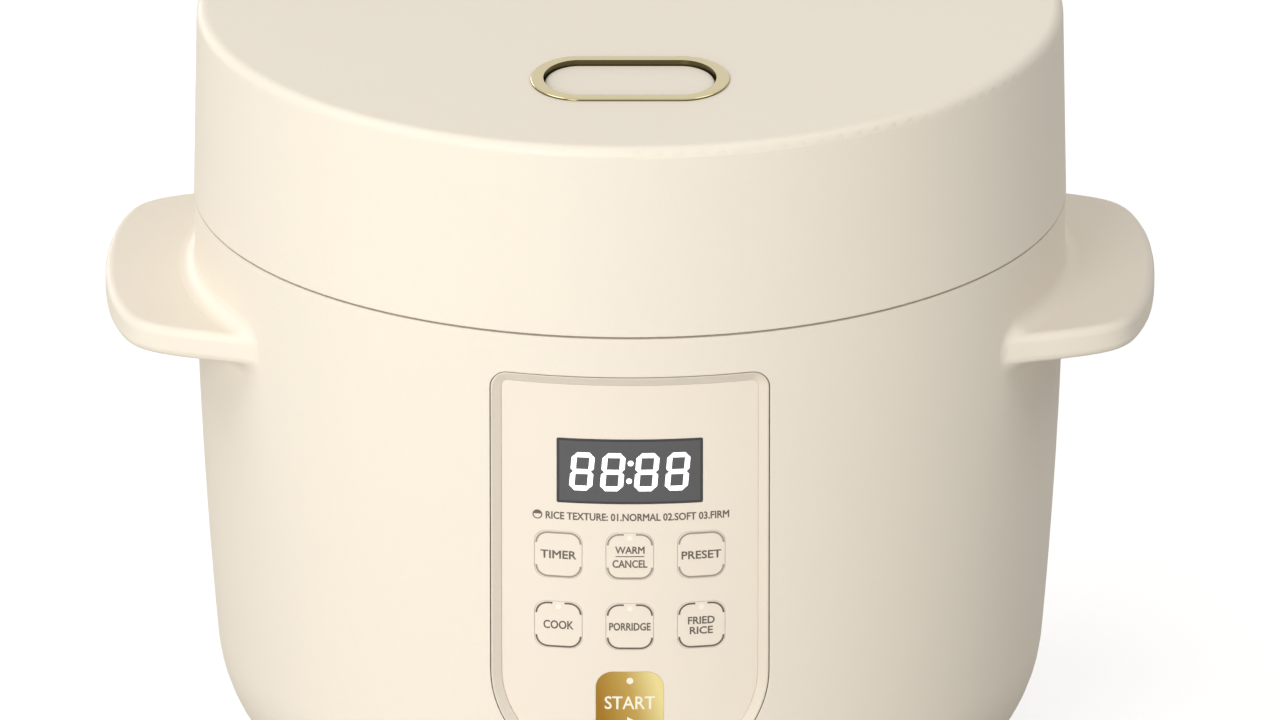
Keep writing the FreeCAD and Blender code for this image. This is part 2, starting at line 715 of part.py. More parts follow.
def key_switches():
    switches = []
    for place in key_places().values():
        x, z = place[:2]
        case = block(x - 3, x + 3, BOARD_Y[0] - 3.3, BOARD_Y[0], z - 3, z + 3)
        switches.append(case.fuse(rod_y(1.7, KEY_POST_END + 0.9, BOARD_Y[0] - 3.2, x, z)))
    return Part.makeCompound(switches)


def key_cap(place):
    # flush cap, a stop flange behind the frame and a post towards its switch
    x, z = place[:2]
    cap = key_prism(place, 0).common(wall_layer(PANEL_DEPTH, FRAME_BACK + 0.8))
    flange = key_prism(place, KEY_FLANGE).common(wall_layer(FRAME_BACK + 0.05, FRAME_BACK + 0.8))
    post = rod_y(2.0, front_y(x, z, FRAME_BACK + 0.4) + 0.3, KEY_POST_END, x, z)
    return joined([cap, flange, post])


def inner_pot():
    low, high = POT_Z
    wall = POT_WALL
    bend = POT_ROUND * (1 - math.sqrt(0.5))
    inner_round = POT_ROUND - wall
    inner_bend = inner_round * (1 - math.sqrt(0.5))
    inside = POT_R - wall
    edges = [line((0, low), (POT_R - POT_ROUND, low)),
             arc((POT_R - POT_ROUND, low), (POT_R - bend, low + bend), (POT_R, low + POT_ROUND)),
             line((POT_R, low + POT_ROUND), (POT_R, high - wall - 1.5)),
             arc((POT_R, high - wall - 1.5), (POT_R + 0.44, high - wall - 0.44), (POT_R + 1.5, high - wall)),
             line((POT_R + 1.5, high - wall), (POT_FLANGE_R, high - wall)),
             arc((POT_FLANGE_R, high - wall), (POT_FLANGE_R + wall / 2, high - wall / 2),
                 (POT_FLANGE_R, high)),
             line((POT_FLANGE_R, high), (POT_R + 1.5, high)),
             arc((POT_R + 1.5, high), (inside + 0.91, high - 0.91), (inside, high - wall - 1.5)),
             line((inside, high - wall - 1.5), (inside, low + POT_ROUND)),
             arc((inside, low + POT_ROUND), (inside - inner_bend, low + wall + inner_bend),
                 (inside - inner_round, low + wall)),
             line((inside - inner_round, low + wall), (0, low + wall)),
             line((0, low + wall), (0, low))]
    return turned(edges)


def lid_skin():
    # the lid's outer wall and flat top, with a rounded upper edge
    rounding = LID_EDGE_ROUND
    bend = rounding * (1 - math.sqrt(0.5))
    top = LID_TOP
    under = top - LID_WALL
    inner_low = RIM_R - LID_WALL
    inner_top = LID_TOP_R - LID_WALL
    edges = [line((RIM_R, LID_LOW_Z), (LID_TOP_R, top - rounding)),
             arc((LID_TOP_R, top - rounding), (LID_TOP_R - bend, top - bend), (LID_TOP_R - rounding, top)),
             line((LID_TOP_R - rounding, top), (0, top)),
             line((0, top), (0, under)),
             line((0, under), (inner_top - 1, under)),
             line((inner_top - 1, under), (inner_top, under - 1)),
             line((inner_top, under - 1), (inner_low, LID_LOW_Z)),
             line((inner_low, LID_LOW_Z), (RIM_R, LID_LOW_Z))]
    return turned(edges)


def button_outline(inset, low, high):
    # oval with straight front and back and elliptical ends
    half_x, half_y = BUTTON_RING_HALF
    flat = BUTTON_RING_FLAT
    middle = block(-flat, flat, BUTTON_Y - half_y + inset, BUTTON_Y + half_y - inset, low, high)
    parts = [middle]
    end_x = half_x - flat - inset
    end_y = half_y - inset
    for sign in (-1, 1):
        oval = Part.Ellipse(V(sign * flat, BUTTON_Y + end_y, low), V(sign * flat + end_x, BUTTON_Y, low),
                            V(sign * flat, BUTTON_Y, low))
        parts.append(Part.Face(Part.Wire(oval.toShape())).extrude(V(0, 0, high - low)))
    return joined(parts)


def lid_shell():
    skin = lid_skin()
    under = LID_TOP - LID_WALL
    bosses = [cylinder(BOSS_R, LINER_Z[1], under + 0.5, *around(LINER_SCREW_R, angle))
              for angle in LINER_SCREW_ANGLES]
    floor_low, floor_high = STEAM_FLOOR_Z
    socket = pipe(STEAM_SOCKET_R + 1.7, STEAM_SOCKET_R, floor_low, under + 0.5, 0, STEAM_Y)
    floor = cylinder(STEAM_SOCKET_R + 1, floor_low, floor_high, 0, STEAM_Y)
    cuts = [button_outline(BUTTON_RING_WIDTH - 1.2, under - 1, LID_TOP + 1),
            cylinder(STEAM_SOCKET_R, under - 1, LID_TOP + 1, 0, STEAM_Y),
            cylinder(DUCT_R[0], floor_low - 1, floor_high + 1, 0, STEAM_Y),
            block(-ARM_HALF - 0.3, ARM_HALF + 0.3, 110, 125, LID_LOW_Z - 1, 185)]
    cuts += [cylinder(SCREW_R, LINER_Z[1] - 1, 190, *around(LINER_SCREW_R, angle))
             for angle in LINER_SCREW_ANGLES]
    hangers = [block(sign * 27 - 1.5, sign * 27 + 1.5, BUTTON_Y - 2, BUTTON_Y + 10, 205, under + 0.5)
               for sign in (-1, 1)]
    bridge = joined([block(-28, 28, BUTTON_Y + 1.5, BUTTON_Y + 6.5, 205, 207.5)] + hangers)
    bridge = less(bridge, [cylinder(2.2, 204, 209, sign * 12, BUTTON_Y + 4) for sign in (-1, 1)])
    return less(joined([skin, socket, floor, bridge] + bosses), cuts)


def button_ring():
    top = LID_TOP + BUTTON_RING_PROUD
    ring = button_outline(0, LID_TOP, top)
    ring = ring.makeFillet(0.5, [edge for edge in ring.Edges if edge.BoundBox.ZMin > top - 0.01])
    skirt = button_outline(BUTTON_RING_WIDTH - 1.15, LID_TOP - 3.6, LID_TOP + 0.1)
    ring = joined([ring, skirt]).cut(button_outline(BUTTON_RING_WIDTH, LID_TOP - 5, top + 1))
    return ring


def release_button():
    top = LID_TOP - BUTTON_SUNK
    plate = button_outline(BUTTON_RING_WIDTH + BUTTON_CLEAR, top - 2.2, top)
    plate = plate.makeFillet(0.5, [edge for edge in plate.Edges if edge.BoundBox.ZMin > top - 0.01])
    plunger = cylinder(2.2, TAIL_TOP + 0.5, top - 1, 0, PLUNGER_Y)
    guides = [cylinder(2.0, 203, top - 1, sign * 12, BUTTON_Y + 4) for sign in (-1, 1)]
    return joined([plate, plunger] + guides)


def button_spring():
    springs = []
    for sign in (-1, 1):
        winding = coil(3.0, 0.45, 3.1, 4)
        winding.translate(V(sign * 12, BUTTON_Y + 4, 208.2))
        springs.append(winding)
    return Part.makeCompound(springs)


def lid_liner():
    low, high = LINER_Z
    floor, top = WELL_TOP
    liner = turned_outline([(WELL_R, low), (LINER_R - 1, low), (LINER_R, low + 1), (LINER_R, high),
                            (WELL_R + 2, high), (WELL_R + 2, top), (0, top), (0, floor), (WELL_R, floor)])
    posts = [side_plate([(LATCH_Y - 5, high - 0.5), (LATCH_Y - 5, LATCH_Z + 4), (LATCH_Y + 5, LATCH_Z + 4),
                         (LATCH_Y + 5, high - 0.5)], x0, x0 + 3) for x0 in (-16, 13)]
    liner = joined([liner] + posts)
    cuts = [block(-8.5, 8.5, -115.2, -102.9, low - 1, high + 1),
            rod_x(LATCH_PIN_R, -20, 20, LATCH_Y, LATCH_Z),
            cylinder(DUCT_R[1] + 0.05, floor - 1, top + 1, 0, STEAM_Y),
            cylinder(5.05, floor - 1, top + 1, 45, 0),
            cylinder(4.05, floor - 1, top + 1)]
    cuts += [cylinder(SCREW_R + 0.2, low - 1, high + 1, *around(LINER_SCREW_R, angle))
             for angle in LINER_SCREW_ANGLES]
    cuts += [cylinder(SCREW_R, low + 0.8, high + 1, sign * 12, 106) for sign in (-1, 1)]
    return less(liner, cuts)


def lid_screws():
    # six through the liner into the lid's posts, two through the hinge arm into the liner
    into_lid = [screw(*around(LINER_SCREW_R, angle), LINER_Z[0], 188, 1.2) for angle in LINER_SCREW_ANGLES]
    into_liner = [screw(sign * 12, 106, 179, LINER_Z[0] + 1, 1.6) for sign in (-1, 1)]
    return Part.makeCompound(into_lid + into_liner)


def inner_lid_plate():
    low, high = LID_PLATE_Z
    plate = turned_outline([(5, low), (60, low), (63, low + 1.2), (LID_PLATE_R, low + 1.2),
                            (LID_PLATE_R, high + 1.2), (62.5, high + 1.2), (59.5, high), (5, high)])
    cuts = [cylinder(DUCT_R[0], low - 1, high + 2, 0, STEAM_Y)]
    cuts += [cylinder(1.6, low - 1, high + 1, *around(radius, angle))
             for radius in (22, 36) for angle in range(0, 360, 45)]
    return less(plate, cuts)


def lid_seal():
    low = LID_PLATE_Z[0] + 1.2
    high = LID_PLATE_Z[1] + 1.2
    return turned_outline([(LID_PLATE_R - 2, low - 1.6), (WELL_R - 0.3, low - 1.6), (WELL_R - 0.3, 172.2),
                           (95.6, 169.2), (95.6, 167.85), (94.6, 167.85), (84.2, 171.2), (84.2, low - 2.6),
                           (LID_PLATE_R - 2, low - 2.2)]).fuse(
        turned_outline([(LID_PLATE_R, low - 1.7), (WELL_R - 0.3, low - 1.7), (WELL_R - 0.3, high + 1.2),
                        (LID_PLATE_R - 2, high + 1.2), (LID_PLATE_R - 2, high), (LID_PLATE_R, high)])
    ).fuse(turned_outline([(LID_PLATE_R - 2, low - 1.7), (LID_PLATE_R, low - 1.7), (LID_PLATE_R, low),
                           (LID_PLATE_R - 2, low)])).removeSplitter()


def plate_knob():
    # silicone knob that holds the inner plate to the liner's centre
    low, high = LID_PLATE_Z
    grip = cylinder(11, low - 6, low)
    grip = grip.makeFillet(2, [edge for edge in grip.Edges if edge.BoundBox.ZMax < low - 5.9])
    return joined([grip, cylinder(5, low - 1, high), cylinder(8, high, high + 1.4),
                   cylinder(4, high, WELL_TOP[1]), cylinder(5.5, WELL_TOP[1], WELL_TOP[1] + 1.5)])


def lid_sensor():
    return joined([cylinder(9, LID_PLATE_Z[1] + 0.1, WELL_TOP[0], 45, 0), cylinder(5, 183, 194, 45, 0)])


def steam_duct():
    low = LID_PLATE_Z[1] + 1.2
    return joined([pipe(DUCT_R[1], DUCT_R[0], low + 0.1, STEAM_FLOOR_Z[0] - 3, 0, STEAM_Y),
                   pipe(11, DUCT_R[0], WELL_TOP[1], WELL_TOP[1] + 1.5, 0, STEAM_Y)])


def steam_duct_seal():
    return pipe(10.5, DUCT_R[0], STEAM_FLOOR_Z[0] - 3, STEAM_FLOOR_Z[0], 0, STEAM_Y)


def steam_cap():
    # lift-out vent: a dished top on a cup that stands in the lid's socket
    low = STEAM_FLOOR_Z[1] + 0.2
    top = LID_TOP + 2.6
    outer = STEAM_SOCKET_R - 0.4
    edges = [line((5, low), (outer, low)), line((outer, low), (outer, LID_TOP + 0.1)),
             line((outer, LID_TOP + 0.1), (STEAM_CAP_R, LID_TOP + 0.1)),
             arc((STEAM_CAP_R, LID_TOP + 0.1), (STEAM_CAP_R - 0.5, LID_TOP + 1.9), (STEAM_CAP_R - 2, top)),
             arc((STEAM_CAP_R - 2, top), (12, top - 1.0), (4, top - 1.3)),
             line((4, top - 1.3), (0, top - 1.3)),
             line((0, top - 1.3), (0, top - 3.2)), line((0, top - 3.2), (outer - 1.6, top - 3.2)),
             line((outer - 1.6, top - 3.2), (outer - 1.6, low + 1.6)),
             line((outer - 1.6, low + 1.6), (5, low + 1.6)), line((5, low + 1.6), (5, low))]
    cap = turned(edges)
    slots = []
    for angle in range(0, 360, 45):
        slot = block(6.5, 14.5, -1.1, 1.1, top - 6, top + 1)
        slot.rotate(V(0, 0, 0), V(0, 0, 1), angle)
        slots.append(slot)
    cap = less(cap, slots)
    cap.translate(V(0, STEAM_Y, 0))
    return cap


def steam_valve():
    # loose disc over the duct's mouth inside the cap
    low = STEAM_FLOOR_Z[1] + 1.9
    return joined([cylinder(7, low, low + 1.2, 0, STEAM_Y), cylinder(2.5, low + 1, low + 6, 0, STEAM_Y)])


def lid_hinge_arm():
    outline = [(100, 175.1), (100, 179), (110, 179), (114, 184.5), (HINGE_Y, 184.5), (HINGE_Y, 171.6),
               (120.8, 173.2), (117.4, 173.2), (117.4, 175.1)]
    arm = side_plate(outline, -ARM_HALF, ARM_HALF)
    arm = joined([arm, rod_x(EAR_R - 0.5, -ARM_HALF, ARM_HALF, HINGE_Y, HINGE_Z)])
    bay = block(-SPRING_BAY, SPRING_BAY, 121.5, 140, 168, 190)
    cuts = [bay, rod_x(HINGE_PIN_R + RUNNING, -40, 40, HINGE_Y, HINGE_Z)]
    cuts += [cylinder(SCREW_R, 174, 180, sign * 12, 106) for sign in (-1, 1)]
    return less(arm, cuts)


def latch_lever():
    outline = [(-103.5, 199), (-110, 191), (-110, 161), (-106.5, 161), (HOOK_TIP_Y, 163.4),
               (HOOK_TIP_Y, 164.6), (-107.3, 165), (-107.3, 187), (-98, 192), (-79.5, 204.2),
               (-71.5, 204.2), (-71.5, TAIL_TOP), (-80.5, TAIL_TOP), (-97, 202)]
    lever = side_plate(outline, -LATCH_HALF, LATCH_HALF)
    lever = joined([lever, rod_x(5.5, -LATCH_HALF, LATCH_HALF, LATCH_Y, LATCH_Z)])
    return lever.cut(rod_x(LATCH_PIN_R + RUNNING, -20, 20, LATCH_Y, LATCH_Z))


def latch_pivot_pin():
    return rod_x(LATCH_PIN_R, -16, 16, LATCH_Y, LATCH_Z)


def latch_spring():
    # torsion spring on the latch pin beside the lever
    winding = coil(2.9, 0.4, 1.0, 4)
    winding.rotate(V(0, 0, 0), V(0, 1, 0), 90)
    winding.translate(V(8.0, LATCH_Y, LATCH_Z))
    leg = Part.makeCylinder(0.4, 9, V(12.0, LATCH_Y, LATCH_Z - 2.9), V(0, 0.35, -1))
    return joined([winding, leg])


def cable(points, radius):
    path = Part.BSplineCurve()
    path.interpolate([V(*point) for point in points])
    wire = Part.Wire(path.toShape())
    tangent = path.tangent(path.FirstParameter)[0]
    section = Part.Wire(Part.makeCircle(radius, V(*points[0]), tangent))
    return wire.makePipeShell([section], True, False)


def wiring():
    # leads from the inlet to the power board, from the board to the element, and up to the control board
    leads = []
    for x in (-6.5, 6.5):
        leads.append(cable([(x, 97.4, 42.2), (x, 97.4, 34.0), (x, 96.9, 25.0), (x, 91.0, 20.0),
                            (x - 2, 78.0, 18.2), (x - 2, 64.0, 16.4), (x - 2, 56.0, 14.7)], 0.9))
    for sign in (-1, 1):
        y = -math.sqrt(ELEMENT_R ** 2 - 18 ** 2)
        leads.append(cable([(sign * 18, y + 1.1, 12.5), (sign * 19, y + 8, 11.2), (sign * 20, -20, 9.0),
                            (sign * 22, 10, 10.2)], 1.1))
    ribbon = cable([(24, 17, 15.6), (30, 0, 15.4), (34, -30, 15), (32, -72, 17), (24, -93, 20.5),
                    (16, -98.8, 33), (13, -99.2, 46), (12, -99.4, 54)], 1.8)
    return Part.makeCompound(leads + [ribbon])


PIECES = {
    "body_shell": body_shell, "pot_collar": pot_collar, "collar_screws": collar_screws,
    "latch_catch": latch_catch, "hinge_bracket": hinge_bracket, "hinge_pin": hinge_pin,
    "hinge_spring": hinge_spring, "inner_can": inner_can, "heating_plate": heating_plate,
    "plate_screws": plate_screws, "heating_element": heating_element, "heater_terminals": heater_terminals,
    "thermal_fuse": thermal_fuse, "sensor_holder": sensor_holder, "sensor_cap": sensor_cap,
    "sensor_spring": sensor_spring, "base_plate": base_plate, "base_screws": base_screws,
    "foot_ring": foot_ring, "power_board": power_board, "power_board_parts": power_board_parts,
    "board_screws": board_screws, "power_inlet": power_inlet, "inlet_bezel": inlet_bezel,
    "inlet_pins": inlet_pins, "panel_frame": panel_frame, "panel_film": panel_film,
    "display_window": display_window, "display_digits": display_digits, "display_module": display_module,
    "control_board": control_board, "key_switches": key_switches, "inner_pot": inner_pot,
    "lid_shell": lid_shell, "button_ring": button_ring, "release_button": release_button,
    "button_spring": button_spring, "lid_liner": lid_liner, "lid_screws": lid_screws,
    "inner_lid_plate": inner_lid_plate, "lid_seal": lid_seal, "plate_knob": plate_knob,
    "lid_sensor": lid_sensor, "steam_duct": steam_duct, "steam_duct_seal": steam_duct_seal,
    "steam_cap": steam_cap, "steam_valve": steam_valve, "lid_hinge_arm": lid_hinge_arm,
    "latch_lever": latch_lever, "latch_pivot_pin": latch_pivot_pin, "latch_spring": latch_spring,
    "wiring": wiring,
}

os.makedirs("parts", exist_ok=True)
for node, build in PIECES.items():
    build().exportStep("parts/" + node + ".step")
for node, place in key_places().items():
    key_cap(place).exportStep("parts/" + node + ".step")
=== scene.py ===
import json
import math

import bmesh
import bpy
from mathutils import Matrix, Vector
from mathutils.bvhtree import BVHTree

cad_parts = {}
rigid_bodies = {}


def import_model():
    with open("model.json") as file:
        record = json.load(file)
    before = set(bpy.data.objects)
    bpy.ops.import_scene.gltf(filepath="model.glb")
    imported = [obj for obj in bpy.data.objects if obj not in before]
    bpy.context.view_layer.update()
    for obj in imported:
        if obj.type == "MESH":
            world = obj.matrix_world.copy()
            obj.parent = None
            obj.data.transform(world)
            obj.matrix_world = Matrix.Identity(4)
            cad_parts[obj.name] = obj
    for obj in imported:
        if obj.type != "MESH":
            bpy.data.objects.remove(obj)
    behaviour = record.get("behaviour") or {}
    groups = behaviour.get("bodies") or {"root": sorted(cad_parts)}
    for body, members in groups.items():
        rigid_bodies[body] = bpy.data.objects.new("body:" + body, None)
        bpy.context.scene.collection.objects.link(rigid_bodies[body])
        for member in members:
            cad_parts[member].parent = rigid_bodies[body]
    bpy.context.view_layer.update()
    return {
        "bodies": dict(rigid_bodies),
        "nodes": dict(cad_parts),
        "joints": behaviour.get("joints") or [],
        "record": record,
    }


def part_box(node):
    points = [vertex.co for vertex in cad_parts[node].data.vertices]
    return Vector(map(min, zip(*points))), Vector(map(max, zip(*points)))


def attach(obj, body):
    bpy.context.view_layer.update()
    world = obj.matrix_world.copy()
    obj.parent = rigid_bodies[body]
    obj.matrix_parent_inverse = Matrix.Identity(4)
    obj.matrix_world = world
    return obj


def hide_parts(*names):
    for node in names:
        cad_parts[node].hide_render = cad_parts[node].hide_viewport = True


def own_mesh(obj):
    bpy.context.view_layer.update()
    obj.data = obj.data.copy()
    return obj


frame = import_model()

nodes = frame["nodes"]


def srgb(red, green, blue):
    def linear(value):
        value = value / 255
        return value / 12.92 if value <= 0.04045 else ((value + 0.055) / 1.055) ** 2.4
    return (linear(red), linear(green), linear(blue), 1.0)


print("frame loaded:", len(nodes), "pieces")

# camera, floor and light

studio = {
    "aim": Vector((0.00276, 0.0, 0.1206)),
    "elevation": 20.3,
    "distance": 7.84,
    "scale": 3620.0,            # points of the frame to a metre, at the aim
    "frameWide": 1280,          # points across the frame
    "floorSize": 60.0,
    "floorGap": 0.0002,
    "floorColour": srgb(200, 199, 197),
    "floorRoughness": 0.9,
    "floorShine": 0.1,
    "floorLift": 0.62,          # added for the camera only, so that the floor reads white
    "sky": 0.38,
    "lamps": [
        # name, azimuth, elevation, distance, size, watts
        ("frontBox", -20.0, 15.0, 3.0, 1.5, 52.5),
        ("leftBox", -90.0, 50.0, 3.0, 2.0, 26.5),
        ("rightBox", 90.0, 50.0, 3.0, 2.0, 16.0),
        ("backBox", -148.0, 5.0, 3.0, 1.4, 15.0),
    ],
}


def makeCamera():
    data = bpy.data.cameras.new("camera")
    data.sensor_width = 36.0
    data.lens = data.sensor_width * studio["scale"] * studio["distance"] / studio["frameWide"]
    data.clip_end = 100.0
    camera = bpy.data.objects.new("camera", data)
    rise = math.radians(studio["elevation"])
    back = Vector((0.0, -math.cos(rise), math.sin(rise)))
    camera.location = studio["aim"] + back * studio["distance"]
    camera.rotation_euler = (math.pi / 2 - rise, 0.0, 0.0)
    bpy.context.scene.collection.objects.link(camera)
    bpy.context.scene.camera = camera


def makeFloor():
    bm = bmesh.new()
    bmesh.ops.create_grid(bm, x_segments=1, y_segments=1, size=studio["floorSize"] / 2)
    bmesh.ops.translate(bm, verts=bm.verts, vec=(0.0, 0.0, -studio["floorGap"]))
    floor = newPiece("floor", bm)
    material = bpy.data.materials.new("paleFloor")
    material.use_nodes = True
    tree = material.node_tree
    shader = tree.nodes["Principled BSDF"]
    shader.inputs["Base Color"].default_value = studio["floorColour"]
    shader.inputs["Roughness"].default_value = studio["floorRoughness"]
    shader.inputs["Specular IOR Level"].default_value = studio["floorShine"]
    path = tree.nodes.new("ShaderNodeLightPath")
    lift = tree.nodes.new("ShaderNodeMath")
    lift.operation = "MULTIPLY"
    lift.inputs[1].default_value = studio["floorLift"]
    tree.links.new(path.outputs["Is Camera Ray"], lift.inputs[0])
    tree.links.new(lift.outputs[0], shader.inputs["Emission Strength"])
    shader.inputs["Emission Color"].default_value = (1.0, 1.0, 1.0, 1.0)
    floor.data.materials.append(material)


def makeSky():
    world = bpy.data.worlds.new("studioWhite")
    bpy.context.scene.world = world
    world.use_nodes = True
    tree = world.node_tree
    background = tree.nodes["Background"]
    path = tree.nodes.new("ShaderNodeLightPath")
    seen = tree.nodes.new("ShaderNodeMath")
    seen.operation = "MAXIMUM"
    tree.links.new(path.outputs["Is Camera Ray"], seen.inputs[0])
    tree.links.new(path.outputs["Is Transmission Ray"], seen.inputs[1])
    both = tree.nodes.new("ShaderNodeMath")
    both.operation = "MAXIMUM"
    tree.links.new(seen.outputs[0], both.inputs[0])
    tree.links.new(path.outputs["Is Glossy Ray"], both.inputs[1])
    strength = tree.nodes.new("ShaderNodeMath")
    strength.operation = "MAXIMUM"
    strength.inputs[1].default_value = studio["sky"]
    tree.links.new(both.outputs[0], strength.inputs[0])
    tree.links.new(strength.outputs[0], background.inputs["Strength"])
    background.inputs["Color"].default_value = (1.0, 1.0, 1.0, 1.0)


def makeLamps():
    for name, azimuth, elevation, distance, size, watts in studio["lamps"]:
        data = bpy.data.lights.new(name, "AREA")
        data.shape = "DISK"
        data.size = size
        data.energy = watts
        lamp = bpy.data.objects.new(name, data)
        turn = math.radians(azimuth)
        rise = math.radians(elevation)
        away = Vector((math.sin(turn) * math.cos(rise), -math.cos(turn) * math.cos(rise), math.sin(rise)))
        lamp.location = studio["aim"] + away * distance
        lamp.rotation_mode = "QUATERNION"
        lamp.rotation_quaternion = (-away).to_track_quat("-Z", "Y")
        bpy.context.scene.collection.objects.link(lamp)


def newPiece(name, bm):
    mesh = bpy.data.meshes.new(name)
    bm.to_mesh(mesh)
    bm.free()
    piece = bpy.data.objects.new(name, mesh)
    bpy.context.scene.collection.objects.link(piece)
    return piece


makeCamera()
makeFloor()
makeSky()
makeLamps()
print("studio ready")

# effects that several finishes share


def newGroup(name, inputs, outputs):
    group = bpy.data.node_groups.new(name, "ShaderNodeTree")
    for label, kind, value in inputs:
        socket = group.interface.new_socket(label, in_out="INPUT", socket_type=kind)
        if value is not None:
            socket.default_value = value
    for label, kind in outputs:
        group.interface.new_socket(label, in_out="OUTPUT", socket_type=kind)
    return group, group.nodes.new("NodeGroupInput"), group.nodes.new("NodeGroupOutput")


def addNode(tree, kind, settings=None, **values):
    node = tree.nodes.new(kind)
    for key, value in (settings or {}).items():
        setattr(node, key, value)
    for key, value in values.items():
        node.inputs[key.replace("_", " ")].default_value = value
    return node


def mathNode(tree, operation, first, second):
    node = tree.nodes.new("ShaderNodeMath")
    node.operation = operation
    for socket, value in zip(node.inputs, (first, second)):
        if isinstance(value, (int, float)):
            socket.default_value = value
        else:
            tree.links.new(value, socket)
    return node.outputs[0]


mould = {"pitScale": 0.55, "pitDepth": 0.6, "driftScale": 14.0, "glossSpan": 0.12}


def makeMouldGrain():
    # fine spark-eroded texture of a moulded part, with a slow drift in tone and gloss
    group, start, end = newGroup(
        "mouldGrain",
        [("Vector", "NodeSocketVector", None), ("Grain Size", "NodeSocketFloat", 0.0005),
         ("Drift", "NodeSocketFloat", 0.03)],
        [("Tone", "NodeSocketFloat"), ("Gloss", "NodeSocketFloat"), ("Height", "NodeSocketFloat")])
    scale = mathNode(group, "DIVIDE", 1.0, start.outputs["Grain Size"])
    fine = addNode(group, "ShaderNodeTexNoise", Detail=2.0, Roughness=0.5)
    group.links.new(start.outputs["Vector"], fine.inputs["Vector"])
    group.links.new(scale, fine.inputs["Scale"])
    pits = addNode(group, "ShaderNodeTexVoronoi", {"feature": "SMOOTH_F1"}, Smoothness=0.6)
    group.links.new(start.outputs["Vector"], pits.inputs["Vector"])
    group.links.new(mathNode(group, "MULTIPLY", scale, mould["pitScale"]), pits.inputs["Scale"])
    slow = addNode(group, "ShaderNodeTexNoise", Scale=mould["driftScale"], Detail=3.0, Roughness=0.55)
    group.links.new(start.outputs["Vector"], slow.inputs["Vector"])
    pitted = mathNode(group, "MULTIPLY", pits.outputs["Distance"], mould["pitDepth"])
    group.links.new(mathNode(group, "ADD", fine.outputs["Fac"], pitted), end.inputs["Height"])
    centred = mathNode(group, "SUBTRACT", slow.outputs["Fac"], 0.5)
    tone = mathNode(group, "ADD", 1.0, mathNode(group, "MULTIPLY", centred, start.outputs["Drift"]))
    group.links.new(tone, end.inputs["Tone"])
    group.links.new(mathNode(group, "MULTIPLY", centred, mould["glossSpan"]), end.inputs["Gloss"])
    return group


arris = {"radius": 0.0004, "from": 0.02, "to": 0.25}


def makeSoftEdge():
    # rounds sharp edges in the shading and marks them, for a painted highlight along moulded arrises and
    # light handling wear
    group, start, end = newGroup(
        "softEdge",
        [("Normal", "NodeSocketVector", None)],
        [("Normal", "NodeSocketVector"), ("Edge", "NodeSocketFloat")])
    bevel = addNode(group, "ShaderNodeBevel", {"samples": 6}, Radius=arris["radius"])
    plain = group.nodes.new("ShaderNodeNewGeometry")
    group.links.new(start.outputs["Normal"], bevel.inputs["Normal"])
    match = addNode(group, "ShaderNodeVectorMath", {"operation": "DOT_PRODUCT"})
    group.links.new(bevel.outputs["Normal"], match.inputs[0])
    group.links.new(plain.outputs["Normal"], match.inputs[1])
    away = mathNode(group, "SUBTRACT", 1.0, match.outputs["Value"])
    spread = addNode(group, "ShaderNodeMapRange", {"clamp": True})
    spread.inputs["From Min"].default_value = arris["from"]
    spread.inputs["From Max"].default_value = arris["to"]
    group.links.new(away, spread.inputs["Value"])
    group.links.new(bevel.outputs["Normal"], end.inputs["Normal"])
    group.links.new(spread.outputs["Result"], end.inputs["Edge"])
    return group


def makeTurnedGrain():
    # concentric tool marks about the piece's own axis
    group, start, end = newGroup(
        "turnedGrain",
        [("Vector", "NodeSocketVector", None), ("Pitch", "NodeSocketFloat", 0.0006)],
        [("Height", "NodeSocketFloat"), ("Tone", "NodeSocketFloat")])
    split = group.nodes.new("ShaderNodeSeparateXYZ")
    group.links.new(start.outputs["Vector"], split.inputs["Vector"])
    squares = [mathNode(group, "MULTIPLY", split.outputs[axis], split.outputs[axis]) for axis in ("X", "Y")]
    radius = mathNode(group, "SQRT", mathNode(group, "ADD", *squares), 0.0)
    ringed = group.nodes.new("ShaderNodeCombineXYZ")
    group.links.new(mathNode(group, "DIVIDE", radius, start.outputs["Pitch"]), ringed.inputs["X"])
    group.links.new(mathNode(group, "MULTIPLY", split.outputs["Z"], 900.0), ringed.inputs["Y"])
    lines = addNode(group, "ShaderNodeTexNoise", Scale=1.0, Detail=3.0, Roughness=0.7)
    group.links.new(ringed.outputs["Vector"], lines.inputs["Vector"])
    group.links.new(lines.outputs["Fac"], end.inputs["Height"])
    group.links.new(lines.outputs["Fac"], end.inputs["Tone"])
    return group


def makeRolledGrain():
    # long fine scratches of rolled or brushed sheet, running one way
    group, start, end = newGroup(
        "rolledGrain",
        [("Vector", "NodeSocketVector", None), ("Stretch", "NodeSocketVector", (300.0, 300.0, 9000.0))],
        [("Height", "NodeSocketFloat"), ("Tone", "NodeSocketFloat")])
    longer = addNode(group, "ShaderNodeVectorMath", {"operation": "MULTIPLY"})
    group.links.new(start.outputs["Vector"], longer.inputs[0])
    group.links.new(start.outputs["Stretch"], longer.inputs[1])
    lines = addNode(group, "ShaderNodeTexNoise", Scale=1.0, Detail=3.0, Roughness=0.6)
    group.links.new(longer.outputs["Vector"], lines.inputs["Vector"])
    spots = addNode(group, "ShaderNodeTexNoise", Scale=60.0, Detail=4.0, Roughness=0.6)
    group.links.new(start.outputs["Vector"], spots.inputs["Vector"])
    group.links.new(lines.outputs["Fac"], end.inputs["Height"])
    halves = [mathNode(group, "MULTIPLY", noise.outputs["Fac"], 0.5) for noise in (lines, spots)]
    group.links.new(mathNode(group, "ADD", *halves), end.inputs["Tone"])
    return group


